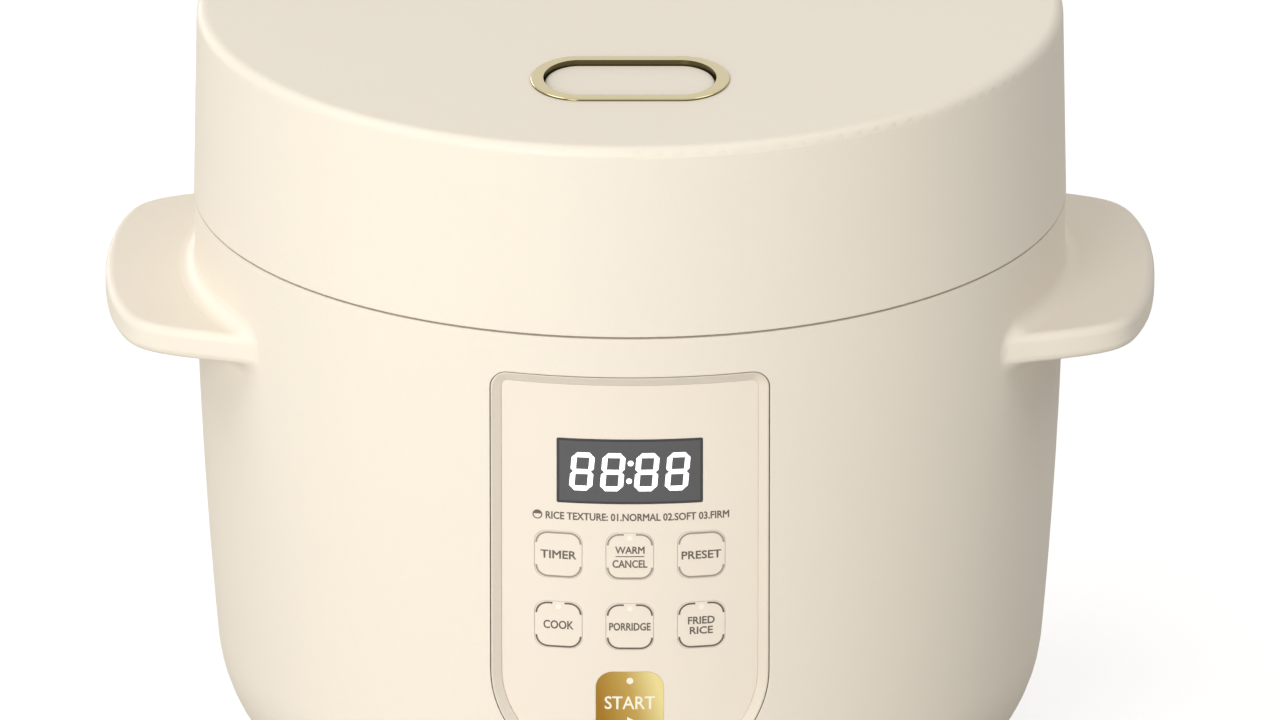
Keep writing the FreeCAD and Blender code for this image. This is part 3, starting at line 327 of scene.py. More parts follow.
def makeFleck():
    # scattered fine specks, as in a non-stick coat or a filled rubber
    group, start, end = newGroup(
        "fleck",
        [("Vector", "NodeSocketVector", None), ("Spacing", "NodeSocketFloat", 0.0012),
         ("Amount", "NodeSocketFloat", 0.14)],
        [("Mask", "NodeSocketFloat")])
    cells = addNode(group, "ShaderNodeTexVoronoi")
    group.links.new(start.outputs["Vector"], cells.inputs["Vector"])
    group.links.new(mathNode(group, "DIVIDE", 1.0, start.outputs["Spacing"]), cells.inputs["Scale"])
    pick = mathNode(group, "GREATER_THAN", cells.outputs["Color"], 0.62)      # only some cells carry a fleck
    near = mathNode(group, "LESS_THAN", cells.outputs["Distance"], start.outputs["Amount"])
    group.links.new(mathNode(group, "MULTIPLY", pick, near), end.inputs["Mask"])
    return group


mouldGrain = makeMouldGrain()
softEdge = makeSoftEdge()
turnedGrain = makeTurnedGrain()
rolledGrain = makeRolledGrain()
fleck = makeFleck()
print("shared effects ready")

# finishes

mixSocket = {"first": 6, "second": 7, "result": 2}      # colour sockets of a Mix node


def startFinish(name, colour, roughness, metallic=0.0):
    material = bpy.data.materials.new(name)
    material.use_nodes = True
    tree = material.node_tree
    shader = tree.nodes["Principled BSDF"]
    shader.inputs["Base Color"].default_value = colour
    shader.inputs["Roughness"].default_value = roughness
    shader.inputs["Metallic"].default_value = metallic
    place = tree.nodes.new("ShaderNodeTexCoord").outputs["Object"]
    return {"material": material, "tree": tree, "shader": shader, "place": place, "colour": colour,
            "roughness": roughness}


def useEffect(finish, group, **values):
    node = finish["tree"].nodes.new("ShaderNodeGroup")
    node.node_tree = group
    for key, value in values.items():
        node.inputs[key].default_value = value
    if "Vector" in node.inputs:
        finish["tree"].links.new(finish["place"], node.inputs["Vector"])
    return node.outputs


def toneColour(finish, value, colour=None):
    # the base colour, or another colour socket, times a value near one
    node = addNode(finish["tree"], "ShaderNodeMix", {"data_type": "RGBA", "blend_type": "MULTIPLY"})
    node.inputs["Factor"].default_value = 1.0
    if colour is None:
        node.inputs[mixSocket["first"]].default_value = finish["colour"]
    else:
        finish["tree"].links.new(colour, node.inputs[mixSocket["first"]])
    finish["tree"].links.new(value, node.inputs[mixSocket["second"]])
    return node.outputs[mixSocket["result"]]


def mixColour(finish, mask, first, second):
    node = addNode(finish["tree"], "ShaderNodeMix", {"data_type": "RGBA"})
    finish["tree"].links.new(mask, node.inputs["Factor"])
    for label, colour in (("first", first), ("second", second)):
        if isinstance(colour, tuple):
            node.inputs[mixSocket[label]].default_value = colour
        else:
            finish["tree"].links.new(colour, node.inputs[mixSocket[label]])
    return node.outputs[mixSocket["result"]]


def paintWith(finish, colour):
    finish["tree"].links.new(colour, finish["shader"].inputs["Base Color"])


def varyGloss(finish, change):
    varied = mathNode(finish["tree"], "ADD", finish["roughness"], change)
    finish["tree"].links.new(varied, finish["shader"].inputs["Roughness"])


def raiseGrain(finish, height, distance, edges=True):
    node = addNode(finish["tree"], "ShaderNodeBump", Strength=1.0, Distance=distance)
    finish["tree"].links.new(height, node.inputs["Height"])
    if edges:
        finish["tree"].links.new(useEffect(finish, softEdge)["Normal"], node.inputs["Normal"])
    finish["tree"].links.new(node.outputs["Normal"], finish["shader"].inputs["Normal"])


def useGrain(finish, look):
    return useEffect(finish, mouldGrain, **{"Grain Size": look["grain"], "Drift": look["drift"]})


def mouldedPlastic(name, look):
    finish = startFinish(name, look["colour"], look["roughness"])
    grain = useGrain(finish, look)
    edge = useEffect(finish, softEdge)
    # the marked arrises take a lighter colour: painted highlight together with light handling wear
    highlightAndWear = mathNode(finish["tree"], "MULTIPLY", edge["Edge"], look["edge"])
    paintWith(finish, mixColour(finish, highlightAndWear, toneColour(finish, grain["Tone"]), look["edgeHighlightAndWear"]))
    varyGloss(finish, grain["Gloss"])
    raiseGrain(finish, grain["Height"], look["depth"])
    finish["shader"].inputs["Specular IOR Level"].default_value = look["shine"]
    return finish["material"]


# the lighter colour on each plastic's arrises is a painted highlight with light handling wear
plastics = {
    "creamBody": {"colour": srgb(242, 232, 215), "roughness": 0.48, "shine": 0.35, "grain": 0.0005,
                  "drift": 0.02, "edge": 0.25, "edgeHighlightAndWear": srgb(250, 243, 228), "depth": 0.000035},
    "creamLid": {"colour": srgb(242, 232, 215), "roughness": 0.48, "shine": 0.35, "grain": 0.0005,
                 "drift": 0.02, "edge": 0.25, "edgeHighlightAndWear": srgb(250, 243, 228), "depth": 0.000035},
    # the panel rim is the body's cream darkened as painted shade for the sunk recess
    "creamRimPaintedShade": {"colour": srgb(230, 220, 202), "roughness": 0.48, "shine": 0.35, "grain": 0.0005,
                 "drift": 0.02, "edge": 0.2, "edgeHighlightAndWear": srgb(250, 243, 228), "depth": 0.000035},
    "creamFilm": {"colour": srgb(244, 232, 215), "roughness": 0.34, "shine": 0.4, "grain": 0.0003,
                  "drift": 0.015, "edge": 0.0, "edgeHighlightAndWear": srgb(250, 243, 228), "depth": 0.000003},
    "whiteLiner": {"colour": srgb(228, 224, 214), "roughness": 0.5, "shine": 0.4, "grain": 0.0006,
                   "drift": 0.03, "edge": 0.3, "edgeHighlightAndWear": srgb(240, 238, 230), "depth": 0.00001},
    "darkPlastic": {"colour": srgb(38, 38, 39), "roughness": 0.5, "shine": 0.5, "grain": 0.0006,
                    "drift": 0.06, "edge": 0.35, "edgeHighlightAndWear": srgb(78, 78, 80), "depth": 0.00001},
    "greyPlastic": {"colour": srgb(122, 119, 113), "roughness": 0.48, "shine": 0.45, "grain": 0.0006,
                    "drift": 0.05, "edge": 0.3, "edgeHighlightAndWear": srgb(150, 147, 141), "depth": 0.00001},
}
made = {name: mouldedPlastic(name, look) for name, look in plastics.items()}


def rubberFinish(name, look):
    finish = startFinish(name, look["colour"], look["roughness"])
    grain = useGrain(finish, look)
    specks = useEffect(finish, fleck, Spacing=look["speckSpacing"], Amount=look["speckSize"])
    dusty = mathNode(finish["tree"], "MULTIPLY", specks["Mask"], look["dust"])
    paintWith(finish, mixColour(finish, dusty, toneColour(finish, grain["Tone"]), look["dustColour"]))
    varyGloss(finish, grain["Gloss"])
    raiseGrain(finish, grain["Height"], look["depth"])
    finish["shader"].inputs["Subsurface Weight"].default_value = look["glow"]
    finish["shader"].inputs["Subsurface Radius"].default_value = [look["glowDepth"]] * 3
    return finish["material"]


rubbers = {
    "silicone": {"colour": srgb(196, 193, 186), "roughness": 0.52, "grain": 0.0009, "drift": 0.08,
                 "speckSpacing": 0.0015, "speckSize": 0.12, "dust": 0.25, "dustColour": srgb(225, 223, 216),
                 "depth": 0.00001, "glow": 0.1, "glowDepth": 0.002},
    "footRubber": {"colour": srgb(48, 47, 46), "roughness": 0.75, "grain": 0.0009, "drift": 0.08,
                   "speckSpacing": 0.0015, "speckSize": 0.12, "dust": 0.35, "dustColour": srgb(96, 94, 90),
                   "depth": 0.00001, "glow": 0.0, "glowDepth": 0.002},
}
made.update({name: rubberFinish(name, look) for name, look in rubbers.items()})


def metalTone(finish, marks, look):
    # tone, gloss and height of a bare metal that follow its tool marks
    tone = addNode(finish["tree"], "ShaderNodeMapRange")
    tone.inputs["To Min"].default_value = look["darkest"]
    tone.inputs["To Max"].default_value = look["brightest"]
    finish["tree"].links.new(marks["Tone"], tone.inputs["Value"])
    paintWith(finish, toneColour(finish, tone.outputs["Result"]))
    varyGloss(finish, mathNode(finish["tree"], "MULTIPLY", marks["Tone"], look["glossSpan"]))
    raiseGrain(finish, marks["Height"], look["depth"])
    return finish["material"]


def turnedMetal(name, look):
    finish = startFinish(name, look["colour"], look["roughness"], 1.0)
    return metalTone(finish, useEffect(finish, turnedGrain, Pitch=look["pitch"]), look)


def sheetMetal(name, look):
    finish = startFinish(name, look["colour"], look["roughness"], 1.0)
    return metalTone(finish, useEffect(finish, rolledGrain, Stretch=look["stretch"]), look)


turned = {
    "castPlate": {"colour": srgb(196, 196, 198), "roughness": 0.34, "pitch": 0.0009, "darkest": 0.7,
                  "brightest": 1.12, "glossSpan": 0.12, "depth": 0.00003},
    "spunPlate": {"colour": srgb(214, 214, 216), "roughness": 0.24, "pitch": 0.0005, "darkest": 0.8,
                  "brightest": 1.12, "glossSpan": 0.12, "depth": 0.000012},
}
rolled = {
    "zincSheet": {"colour": srgb(188, 190, 192), "roughness": 0.36, "stretch": (2500.0, 2500.0, 90.0),
                  "darkest": 0.72, "brightest": 1.15, "glossSpan": 0.15, "depth": 0.00001},
    "steel": {"colour": srgb(176, 176, 178), "roughness": 0.26, "stretch": (900.0, 4000.0, 4000.0),
              "darkest": 0.72, "brightest": 1.15, "glossSpan": 0.15, "depth": 0.000006},
    "brass": {"colour": srgb(205, 172, 104), "roughness": 0.24, "stretch": (5000.0, 500.0, 5000.0),
              "darkest": 0.72, "brightest": 1.15, "glossSpan": 0.15, "depth": 0.000006},
}
made.update({name: turnedMetal(name, look) for name, look in turned.items()})
made.update({name: sheetMetal(name, look) for name, look in rolled.items()})


def champagneFinish():
    # plated ring round the release button, with painted shade on its steep flanks
    look = {"colour": srgb(204, 190, 146), "paintedFlankShade": srgb(96, 86, 56), "roughness": 0.16, "flat": 0.75,
            "steepShade": 0.25, "grain": 0.0012, "drift": 0.05, "depth": 0.000004}
    finish = startFinish("champagne", look["colour"], look["roughness"], 1.0)
    tree = finish["tree"]
    split = tree.nodes.new("ShaderNodeSeparateXYZ")
    tree.links.new(tree.nodes.new("ShaderNodeNewGeometry").outputs["Normal"], split.inputs["Vector"])
    # the steeper a face, the more of the painted shade it takes
    steepShade = addNode(tree, "ShaderNodeMapRange", {"clamp": True})
    steepShade.inputs["From Min"].default_value = look["flat"]
    steepShade.inputs["From Max"].default_value = look["steepShade"]
    tree.links.new(split.outputs["Z"], steepShade.inputs["Value"])
    grain = useGrain(finish, look)
    paintWith(finish, mixColour(finish, steepShade.outputs["Result"], toneColour(finish, grain["Tone"]),
                                look["paintedFlankShade"]))
    varyGloss(finish, grain["Gloss"])
    raiseGrain(finish, grain["Height"], look["depth"], edges=False)
    return finish["material"]


made["champagne"] = champagneFinish()


def nonStickFinish():
    look = {"colour": srgb(52, 52, 54), "roughness": 0.42, "grain": 0.0004, "drift": 0.1, "depth": 0.00001,
            "speck": srgb(150, 148, 144), "speckSpacing": 0.0016, "speckSize": 0.16}
    finish = startFinish("nonStick", look["colour"], look["roughness"])
    grain = useGrain(finish, look)
    specks = useEffect(finish, fleck, Spacing=look["speckSpacing"], Amount=look["speckSize"])
    paintWith(finish, mixColour(finish, specks["Mask"], toneColour(finish, grain["Tone"]), look["speck"]))
    varyGloss(finish, grain["Gloss"])
    raiseGrain(finish, grain["Height"], look["depth"])
    return finish["material"]


made["nonStick"] = nonStickFinish()


def windowFinish():
    # smoked window with a darker printed border
    look = {"colour": srgb(92, 91, 92), "border": srgb(66, 65, 66), "roughness": 0.16, "borderWide": 0.0007,
            "grain": 0.0006, "drift": 0.05, "depth": 0.000002}
    low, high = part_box("display_window")
    finish = startFinish("smokedWindow", look["colour"], look["roughness"])
    tree = finish["tree"]
    split = tree.nodes.new("ShaderNodeSeparateXYZ")
    tree.links.new(finish["place"], split.inputs["Vector"])
    middle = (low + high) / 2
    half = (high - low) / 2
    masks = []
    for axis, centre, reach in (("X", middle.x, half.x), ("Z", middle.z, half.z)):
        away = mathNode(tree, "ABSOLUTE", mathNode(tree, "SUBTRACT", split.outputs[axis], centre), 0.0)
        masks.append(mathNode(tree, "GREATER_THAN", away, reach - look["borderWide"]))
    grain = useGrain(finish, look)
    border = mathNode(tree, "MAXIMUM", masks[0], masks[1])
    paintWith(finish, mixColour(finish, border, toneColour(finish, grain["Tone"]), look["border"]))
    varyGloss(finish, grain["Gloss"])
    raiseGrain(finish, grain["Height"], look["depth"], edges=False)
    return finish["material"]


made["smokedWindow"] = windowFinish()


def litFinish():
    look = {"colour": srgb(252, 252, 252), "roughness": 0.4, "grain": 0.0008, "drift": 0.08, "glow": 1.0}
    finish = startFinish("litSegment", look["colour"], look["roughness"])
    tone = toneColour(finish, useGrain(finish, look)["Tone"])
    paintWith(finish, tone)
    finish["tree"].links.new(tone, finish["shader"].inputs["Emission Color"])
    finish["shader"].inputs["Emission Strength"].default_value = look["glow"]
    return finish["material"]


made["litSegment"] = litFinish()


def goldKeyFinish():
    # metallic gold print, deep gold on the left with a painted highlight fading in to pale gold on the right
    look = {"left": (0.08, srgb(172, 124, 24)), "middle": (0.55, srgb(206, 170, 84)),
            "right": (0.94, srgb(252, 234, 160)), "highlightLean": 0.25, "roughness": 0.34, "metallic": 0.25,
            "grain": 0.00025, "drift": 0.05, "depth": 0.000004}
    low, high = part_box("key_start")
    finish = startFinish("goldKeyPaintedHighlight", look["middle"][1], look["roughness"], look["metallic"])
    tree = finish["tree"]
    split = tree.nodes.new("ShaderNodeSeparateXYZ")
    tree.links.new(finish["place"], split.inputs["Vector"])
    along = addNode(tree, "ShaderNodeMapRange", {"clamp": True})
    along.inputs["From Min"].default_value = low.x
    along.inputs["From Max"].default_value = high.x
    above = mathNode(tree, "SUBTRACT", split.outputs["Z"], (low.z + high.z) / 2)
    highlightLean = mathNode(tree, "MULTIPLY", above, look["highlightLean"])
    tree.links.new(mathNode(tree, "ADD", split.outputs["X"], highlightLean), along.inputs["Value"])
    # the pale end of this ramp is a painted highlight, slanted by the lean
    highlightRamp = tree.nodes.new("ShaderNodeValToRGB")
    stops = highlightRamp.color_ramp.elements
    stops[0].position, stops[0].color = look["left"]
    stops[1].position, stops[1].color = look["right"]
    stops.new(look["middle"][0]).color = look["middle"][1]
    tree.links.new(along.outputs["Result"], highlightRamp.inputs["Fac"])
    grain = useGrain(finish, look)
    paintWith(finish, toneColour(finish, grain["Tone"], highlightRamp.outputs["Color"]))
    varyGloss(finish, grain["Gloss"])
    raiseGrain(finish, grain["Height"], look["depth"], edges=False)
    return finish["material"]


made["goldKeyPaintedHighlight"] = goldKeyFinish()


def boardFinish():
    look = {"colour": srgb(30, 92, 52), "track": srgb(52, 122, 72), "roughness": 0.4, "cells": 160.0,
            "trackFrom": 0.42, "grain": 0.0006, "drift": 0.1, "depth": 0.00003}
    finish = startFinish("circuitBoard", look["colour"], look["roughness"])
    tree = finish["tree"]
    cells = addNode(tree, "ShaderNodeTexVoronoi", {"distance": "CHEBYCHEV"}, Scale=look["cells"],
                    Randomness=0.7)
    tree.links.new(finish["place"], cells.inputs["Vector"])
    track = mathNode(tree, "GREATER_THAN", cells.outputs["Distance"], look["trackFrom"])
    grain = useGrain(finish, look)
    paintWith(finish, mixColour(finish, track, toneColour(finish, grain["Tone"]), look["track"]))
    raiseGrain(finish, track, look["depth"])
    return finish["material"]


made["circuitBoard"] = boardFinish()


def leadFinish():
    look = {"colour": srgb(176, 44, 36), "roughness": 0.45, "grain": 0.0007, "drift": 0.1, "depth": 0.00001}
    finish = startFinish("leadSleeve", look["colour"], look["roughness"])
    grain = useGrain(finish, look)
    paintWith(finish, toneColour(finish, grain["Tone"]))
    varyGloss(finish, grain["Gloss"])
    raiseGrain(finish, grain["Height"], look["depth"])
    return finish["material"]


made["leadSleeve"] = leadFinish()
print("finishes ready:", len(made))

finishOf = {
    "creamBody": ["body_shell", "hinge_bracket", "base_plate"],
    "creamRimPaintedShade": ["panel_frame"],
    "creamLid": ["lid_shell", "lid_hinge_arm", "release_button", "steam_cap"],
    "creamFilm": ["panel_film", "key_timer", "key_warm_cancel", "key_preset", "key_cook", "key_porridge",
                  "key_fried_rice"],
    "goldKeyPaintedHighlight": ["key_start"],
    "smokedWindow": ["display_window"],
    "litSegment": ["display_digits"],
    "champagne": ["button_ring"],
    "whiteLiner": ["pot_collar", "lid_liner", "lid_sensor", "steam_duct", "thermal_fuse", "latch_lever"],
    "darkPlastic": ["power_inlet", "display_module", "key_switches", "power_board_parts"],
    "greyPlastic": ["inlet_bezel"],
    "silicone": ["lid_seal", "plate_knob", "steam_duct_seal", "steam_valve"],
    "footRubber": ["foot_ring"],
    "castPlate": ["heating_plate", "sensor_cap"],
    "spunPlate": ["inner_lid_plate"],
    "zincSheet": ["inner_can", "latch_catch", "sensor_holder"],
    "steel": ["collar_screws", "hinge_pin", "hinge_spring", "plate_screws", "heating_element", "base_screws",
              "board_screws", "lid_screws", "latch_pivot_pin", "latch_spring", "button_spring",
              "sensor_spring"],
    "brass": ["inlet_pins", "heater_terminals"],
    "nonStick": ["inner_pot"],
    "circuitBoard": ["control_board", "power_board"],
    "leadSleeve": ["wiring"],
}
for finishName, names in finishOf.items():
    for name in names:
        nodes[name].data.materials.clear()
        nodes[name].data.materials.append(made[finishName])
print("finishes laid on", sum(len(names) for names in finishOf.values()), "pieces")


# springs, each copied into a piece of its own on its body

springs = {
    "button_spring": {"piece": "button_coils", "joint": "release_press", "body": "lid", "foot": 0.2075,
                      "travel": 0.0025},
    "sensor_spring": {"piece": "sensor_coil", "joint": "sensor_press", "body": "cooker", "foot": 0.0232,
                      "travel": 0.003},
}


def compressSpring(nodeName, look):
    # a copy of the coil, attached to its body in place of the original
    node = nodes[nodeName]
    bm = bmesh.new()
    bm.from_mesh(node.data)
    bm.transform(node.matrix_world)
    coil = newPiece(look["piece"], bm)
    coil.data.materials.append(made["steel"])
    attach(coil, look["body"])
    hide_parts(nodeName)
    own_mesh(coil)


for springName, look in springs.items():
    compressSpring(springName, look)
print("springs ready")


# printed marks on the panel and the keys

inks = {
    "printDark": {"colour": srgb(104, 95, 84), "roughness": 0.5, "grain": 0.0003, "drift": 0.1,
                  "depth": 0.000002},
    "printSoft": {"colour": srgb(158, 149, 132), "roughness": 0.5, "grain": 0.0003, "drift": 0.1,
                  "depth": 0.000002},
    "printGrey": {"colour": srgb(178, 177, 174), "roughness": 0.45, "grain": 0.0003, "drift": 0.1,
                  "depth": 0.000002},
    "printPale": {"colour": srgb(252, 246, 226), "roughness": 0.4, "grain": 0.0003, "drift": 0.04,
                  "depth": 0.000002},
}


def inkFinish(name, look):
    finish = startFinish(name, look["colour"], look["roughness"])
    grain = useGrain(finish, look)
    paintWith(finish, toneColour(finish, grain["Tone"]))
    varyGloss(finish, grain["Gloss"])
    raiseGrain(finish, grain["Height"], look["depth"], edges=False)
    return finish["material"]


made.update({name: inkFinish(name, look) for name, look in inks.items()})

printing = {
    "proud": 0.00006,       # height of the ink's face above the surface
    "thick": 0.00004,
    "longestEdge": 0.0014,
    "mergeGap": 0.000001,
    "outlineWide": 0.0005,
    "bolder": 0.00006,      # how far the letters' outlines are moved outward
    "spike": 0.3,           # a corner sharper than this stays where it is
    "mitre": 0.6,           # keeps a sharp corner from moving far out
    "openSide": 0.0066,     # height of the opening at each side of an outline
    "openTop": 0.0033,      # width of the opening at the top of an outline that has a dot
    "dotAcross": 0.0016,
}


def solidTree(name):
    mesh = nodes[name].data
    return BVHTree.FromPolygons([vertex.co for vertex in mesh.vertices],
                                [polygon.vertices for polygon in mesh.polygons])


def laidOn(name, bm, hostName, bodyName, ink, startY=-1.0):
    # a flat mark drawn in X and Z, laid as a thin layer of ink on the first face that lies behind startY
    host = solidTree(hostName)
    bmesh.ops.remove_doubles(bm, verts=bm.verts, dist=printing["mergeGap"])
    long = [edge for edge in bm.edges if edge.calc_length() > printing["longestEdge"]]
    while long:
        bmesh.ops.subdivide_edges(bm, edges=long, cuts=1)
        bmesh.ops.triangulate(bm, faces=bm.faces)
        long = [edge for edge in bm.edges if edge.calc_length() > 2 * printing["longestEdge"]]
    for vertex in bm.verts:
        hit = host.ray_cast(Vector((vertex.co.x, startY, vertex.co.z)), Vector((0.0, 1.0, 0.0)))[0]
        vertex.co.y = hit.y - printing["proud"]
    bmesh.ops.recalc_face_normals(bm, faces=bm.faces)
    if sum(face.normal.y * face.calc_area() for face in bm.faces) > 0:
        bmesh.ops.reverse_faces(bm, faces=bm.faces)
    front = bm.faces[:]
    grown = bmesh.ops.extrude_face_region(bm, geom=front, use_keep_orig=True)["geom"]
    bmesh.ops.translate(bm, verts=[item for item in grown if isinstance(item, bmesh.types.BMVert)],
                        vec=(0.0, printing["thick"], 0.0))
    bmesh.ops.recalc_face_normals(bm, faces=bm.faces)
    piece = newPiece(name, bm)
    piece.data.materials.append(made[ink])
    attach(piece, bodyName)
    return piece


def flatDot(bm, x, z, across):
    disc = bmesh.ops.create_circle(bm, cap_ends=True, segments=20, radius=across / 2)["verts"]
    bmesh.ops.rotate(bm, verts=disc, cent=(0, 0, 0), matrix=Matrix.Rotation(math.pi / 2, 3, "X"))
    bmesh.ops.translate(bm, verts=disc, vec=(x, 0.0, z))
    return disc


def flatBar(bm, x, z, wide, high):
    bar = bmesh.ops.create_grid(bm, x_segments=1, y_segments=1, size=0.5)["verts"]
    bmesh.ops.rotate(bm, verts=bar, cent=(0, 0, 0), matrix=Matrix.Rotation(math.pi / 2, 3, "X"))
    bmesh.ops.scale(bm, verts=bar, vec=(wide, 1.0, high))
    bmesh.ops.translate(bm, verts=bar, vec=(x, 0.0, z))
    return bar


def thicken(fresh, amount):
    # moves the outline of flat letters outward, so that their strokes are wider
    moves = []
    for vertex in fresh:
        sides = []
        for edge in vertex.link_edges:
            if not edge.is_boundary:
                continue
            face = edge.link_faces[0]
            along = edge.other_vert(vertex).co - vertex.co
            side = along.cross(face.normal).normalized()
            inward = face.calc_center_median() - vertex.co
            sides.append(-side if side.dot(inward) > 0 else side)
        away = sum(sides, Vector())
        if away.length > printing["spike"]:
            away.normalize()
            moves.append((vertex, away * amount / max(away.dot(sides[0]), printing["mitre"])))
    for vertex, move in moves:
        vertex.co += move


def addWord(bm, word, x, z, wide, high):
    # letters centred on x and z, fitted to a height and, unless it is 0, a width
    curve = bpy.data.curves.new("word", "FONT")
    curve.body = word
    curve.resolution_u = 3
    holder = bpy.data.objects.new("word", curve)
    bpy.context.scene.collection.objects.link(holder)
    bpy.context.view_layer.update()
    mesh = bpy.data.meshes.new_from_object(holder)
    bpy.data.objects.remove(holder)
    bpy.data.curves.remove(curve)
    before = set(bm.verts)
    bm.from_mesh(mesh)
    bpy.data.meshes.remove(mesh)
    fresh = [vertex for vertex in bm.verts if vertex not in before]
    low = Vector((min(vertex.co.x for vertex in fresh), min(vertex.co.y for vertex in fresh)))
    top = Vector((max(vertex.co.x for vertex in fresh), max(vertex.co.y for vertex in fresh)))
    bmesh.ops.translate(bm, verts=fresh, vec=(-(low.x + top.x) / 2, -(low.y + top.y) / 2, 0.0))
    rise = high / (top.y - low.y)
    bmesh.ops.scale(bm, verts=fresh, vec=(wide / (top.x - low.x) or rise, rise, 1.0))
    bm.normal_update()
    thicken(fresh, printing["bolder"])
    bmesh.ops.rotate(bm, verts=fresh, cent=(0, 0, 0), matrix=Matrix.Rotation(math.pi / 2, 3, "X"))
    bmesh.ops.translate(bm, verts=fresh, vec=(x, 0.0, z))


def keyOutline(key, ink, hasDot):
    # a rounded outline, open at both sides and, where the key has a dot, at the top
    low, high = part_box(key)
    middle = (low + high) / 2
    look = keyLook
    bm = bmesh.new()
    frame = flatBar(bm, middle.x, middle.z, look["wide"], look["high"])
    bmesh.ops.bevel(bm, geom=frame, affect="VERTICES", offset=look["round"], offset_type="OFFSET",
                    segments=8, profile=0.5, material=-1)
    face = bm.faces[:]
    bmesh.ops.inset_region(bm, faces=face, thickness=printing["outlineWide"], use_boundary=True,
                           use_even_offset=True)
    bmesh.ops.delete(bm, geom=face, context="FACES")
    for rise in (-1, 1):
        bmesh.ops.bisect_plane(bm, geom=bm.verts[:] + bm.edges[:] + bm.faces[:],
                               plane_co=(0.0, 0.0, middle.z + rise * printing["openSide"] / 2),
                               plane_no=(0.0, 0.0, 1.0))
    if hasDot:
        for side in (-1, 1):
            bmesh.ops.bisect_plane(bm, geom=bm.verts[:] + bm.edges[:] + bm.faces[:],
                                   plane_co=(middle.x + side * printing["openTop"] / 2, 0.0, 0.0),
                                   plane_no=(1.0, 0.0, 0.0))
    gone = []
    for face in bm.faces:
        at = face.calc_center_median() - middle
        atSide = abs(at.z) < printing["openSide"] / 2
        atTop = hasDot and at.z > 0 and abs(at.x) < printing["openTop"] / 2
        if atSide or atTop:
            gone.append(face)
    bmesh.ops.delete(bm, geom=gone, context="FACES")
    laidOn(key + "_outline", bm, key, key, ink)
    if hasDot:
        bm = bmesh.new()
        flatDot(bm, middle.x, middle.z + look["dotRise"], printing["dotAcross"])
        laidOn(key + "_dot", bm, key, key, "printPale")


keyLook = {
    "wide": 0.0126,
    "high": 0.0134,
    "round": 0.0034,
    "dotRise": 0.0054,
    "ruleWide": 0.0078,     # line between the two words of the warm and cancel key
    "ruleHigh": 0.00025,
    "keys": {
        # ink, has a dot, rows of words: word, rise, width, height
        "key_timer": ("printSoft", False, [("TIMER", 0.0, 0.0096, 0.0023)]),
        "key_warm_cancel": ("printSoft", True, [("WARM", 0.0019, 0.0079, 0.0020),
                                                ("CANCEL", -0.0022, 0.0094, 0.0022)]),
        "key_preset": ("printSoft", False, [("PRESET", 0.0, 0.0107, 0.0023)]),
        "key_cook": ("printDark", True, [("COOK", 0.0, 0.0081, 0.0024)]),
        "key_porridge": ("printDark", True, [("PORRIDGE", 0.0, 0.0112, 0.0022)]),
        "key_fried_rice": ("printDark", True, [("FRIED", 0.0014, 0.0072, 0.0021),
                                               ("RICE", -0.0016, 0.0062, 0.0021)]),
    },
}


def printKeys():
    for key, (ink, hasDot, rows) in keyLook["keys"].items():
        keyOutline(key, ink, hasDot)
        low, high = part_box(key)
        middle = (low + high) / 2
        bm = bmesh.new()
        for word, rise, wide, tall in rows:
            addWord(bm, word, middle.x, middle.z + rise, wide, tall)
        if key == "key_warm_cancel":
            flatBar(bm, middle.x, middle.z, keyLook["ruleWide"], keyLook["ruleHigh"])
        laidOn(key + "_label", bm, key, key, "printDark")


startLook = {
    "dotRise": 0.0072,
    "dotAcross": 0.0019,
    "wordRise": 0.0006,
    "word": (0.0137, 0.0038),
    "arrowRise": -0.0049,
    "arrowAcross": 0.0030,
}


def printStart():
    low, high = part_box("key_start")
    middle = (low + high) / 2
    bm = bmesh.new()
    flatDot(bm, middle.x, middle.z + startLook["dotRise"], startLook["dotAcross"])
    laidOn("key_start_dot", bm, "key_start", "key_start", "printPale")
    bm = bmesh.new()
    addWord(bm, "START", middle.x, middle.z + startLook["wordRise"], *startLook["word"])
    arrow = bmesh.ops.create_circle(bm, cap_ends=True, segments=3,
                                    radius=startLook["arrowAcross"] / 2)["verts"]
    bmesh.ops.rotate(bm, verts=arrow, cent=(0, 0, 0), matrix=Matrix.Rotation(-math.pi / 2, 3, "Z"))
    bmesh.ops.rotate(bm, verts=arrow, cent=(0, 0, 0), matrix=Matrix.Rotation(math.pi / 2, 3, "X"))
    bmesh.ops.translate(bm, verts=arrow, vec=(middle.x, 0.0, middle.z + startLook["arrowRise"]))
    laidOn("key_start_label", bm, "key_start", "key_start", "printPale")


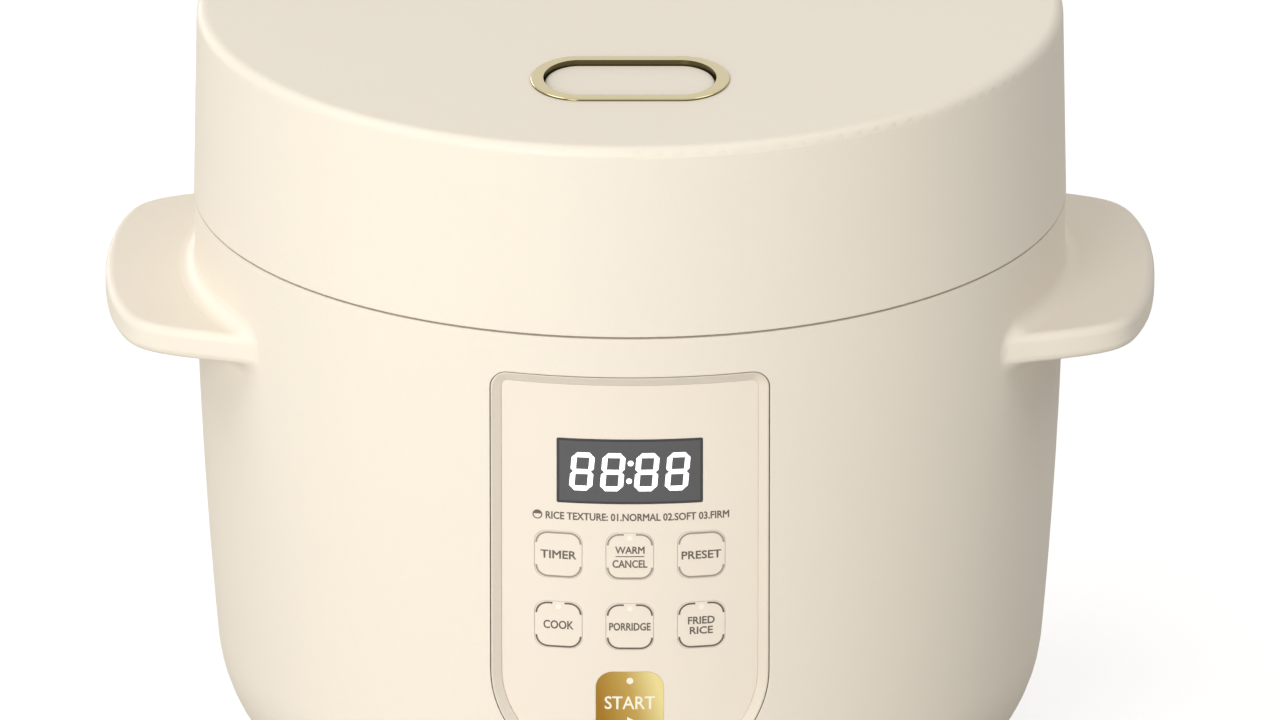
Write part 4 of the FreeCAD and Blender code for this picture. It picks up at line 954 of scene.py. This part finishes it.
infoLook = {
    "z": 0.1181,
    "words": "RICE TEXTURE: 01.NORMAL 02.SOFT 03.FIRM",
    "left": -0.0229,
    "right": 0.0270,
    "tall": 0.0021,
    "bowlX": -0.0252,
    "bowlAcross": 0.0027,
    "bowlRing": 0.0003,
    "bowlFill": 0.0002,     # height above the middle from which the bowl is filled
    "bowlHollow": 0.0004,   # how far in from the bowl's edge its hollow begins
}


def printInfo():
    look = infoLook
    bm = bmesh.new()
    addWord(bm, look["words"], (look["left"] + look["right"]) / 2, look["z"], look["right"] - look["left"],
            look["tall"])
    laidOn("panel_info", bm, "panel_film", "cooker", "printDark")
    bm = bmesh.new()
    flatDot(bm, look["bowlX"], look["z"], look["bowlAcross"])
    bmesh.ops.inset_region(bm, faces=bm.faces[:], thickness=look["bowlRing"], use_boundary=True,
                           use_even_offset=True)
    middle = Vector((look["bowlX"], 0.0, look["z"]))
    fillLine = look["z"] + look["bowlFill"]
    bmesh.ops.bisect_plane(bm, geom=bm.verts[:] + bm.edges[:] + bm.faces[:],
                           plane_co=(0.0, 0.0, fillLine), plane_no=(0.0, 0.0, 1.0))
    hollow = []
    for face in bm.faces:
        at = face.calc_center_median()
        if at.z < fillLine and (at - middle).length < look["bowlAcross"] / 2 - look["bowlHollow"]:
            hollow.append(face)
    bmesh.ops.delete(bm, geom=hollow, context="FACES")
    laidOn("panel_bowl", bm, "panel_film", "cooker", "printDark")


levelLook = {
    "firstZ": 0.068,
    "step": 0.0145,
    "levels": 6,
    "lineWide": 0.011,
    "lineHigh": 0.0007,
    "numberX": 0.0098,
    "numberTall": 0.0046,
}


def printLevels():
    # filling marks with plain numbers on the pot's inner wall, facing the front
    look = levelLook
    bm = bmesh.new()
    for level in range(look["levels"]):
        z = look["firstZ"] + level * look["step"]
        flatBar(bm, 0.0, z, look["lineWide"], look["lineHigh"])
        addWord(bm, str(level + 1), look["numberX"], z, 0.0, look["numberTall"])
    flatBar(bm, -look["lineWide"] / 2, look["firstZ"] + look["step"] * (look["levels"] - 1) / 2,
            look["lineHigh"], look["step"] * (look["levels"] - 1) + look["lineHigh"])
    laidOn("pot_levels", bm, "inner_pot", "pot", "printGrey", startY=0.0)


printKeys()
printStart()
printInfo()
printLevels()
print("marks printed")

bpy.context.scene.view_settings.view_transform = "Standard"
print("scene ready")
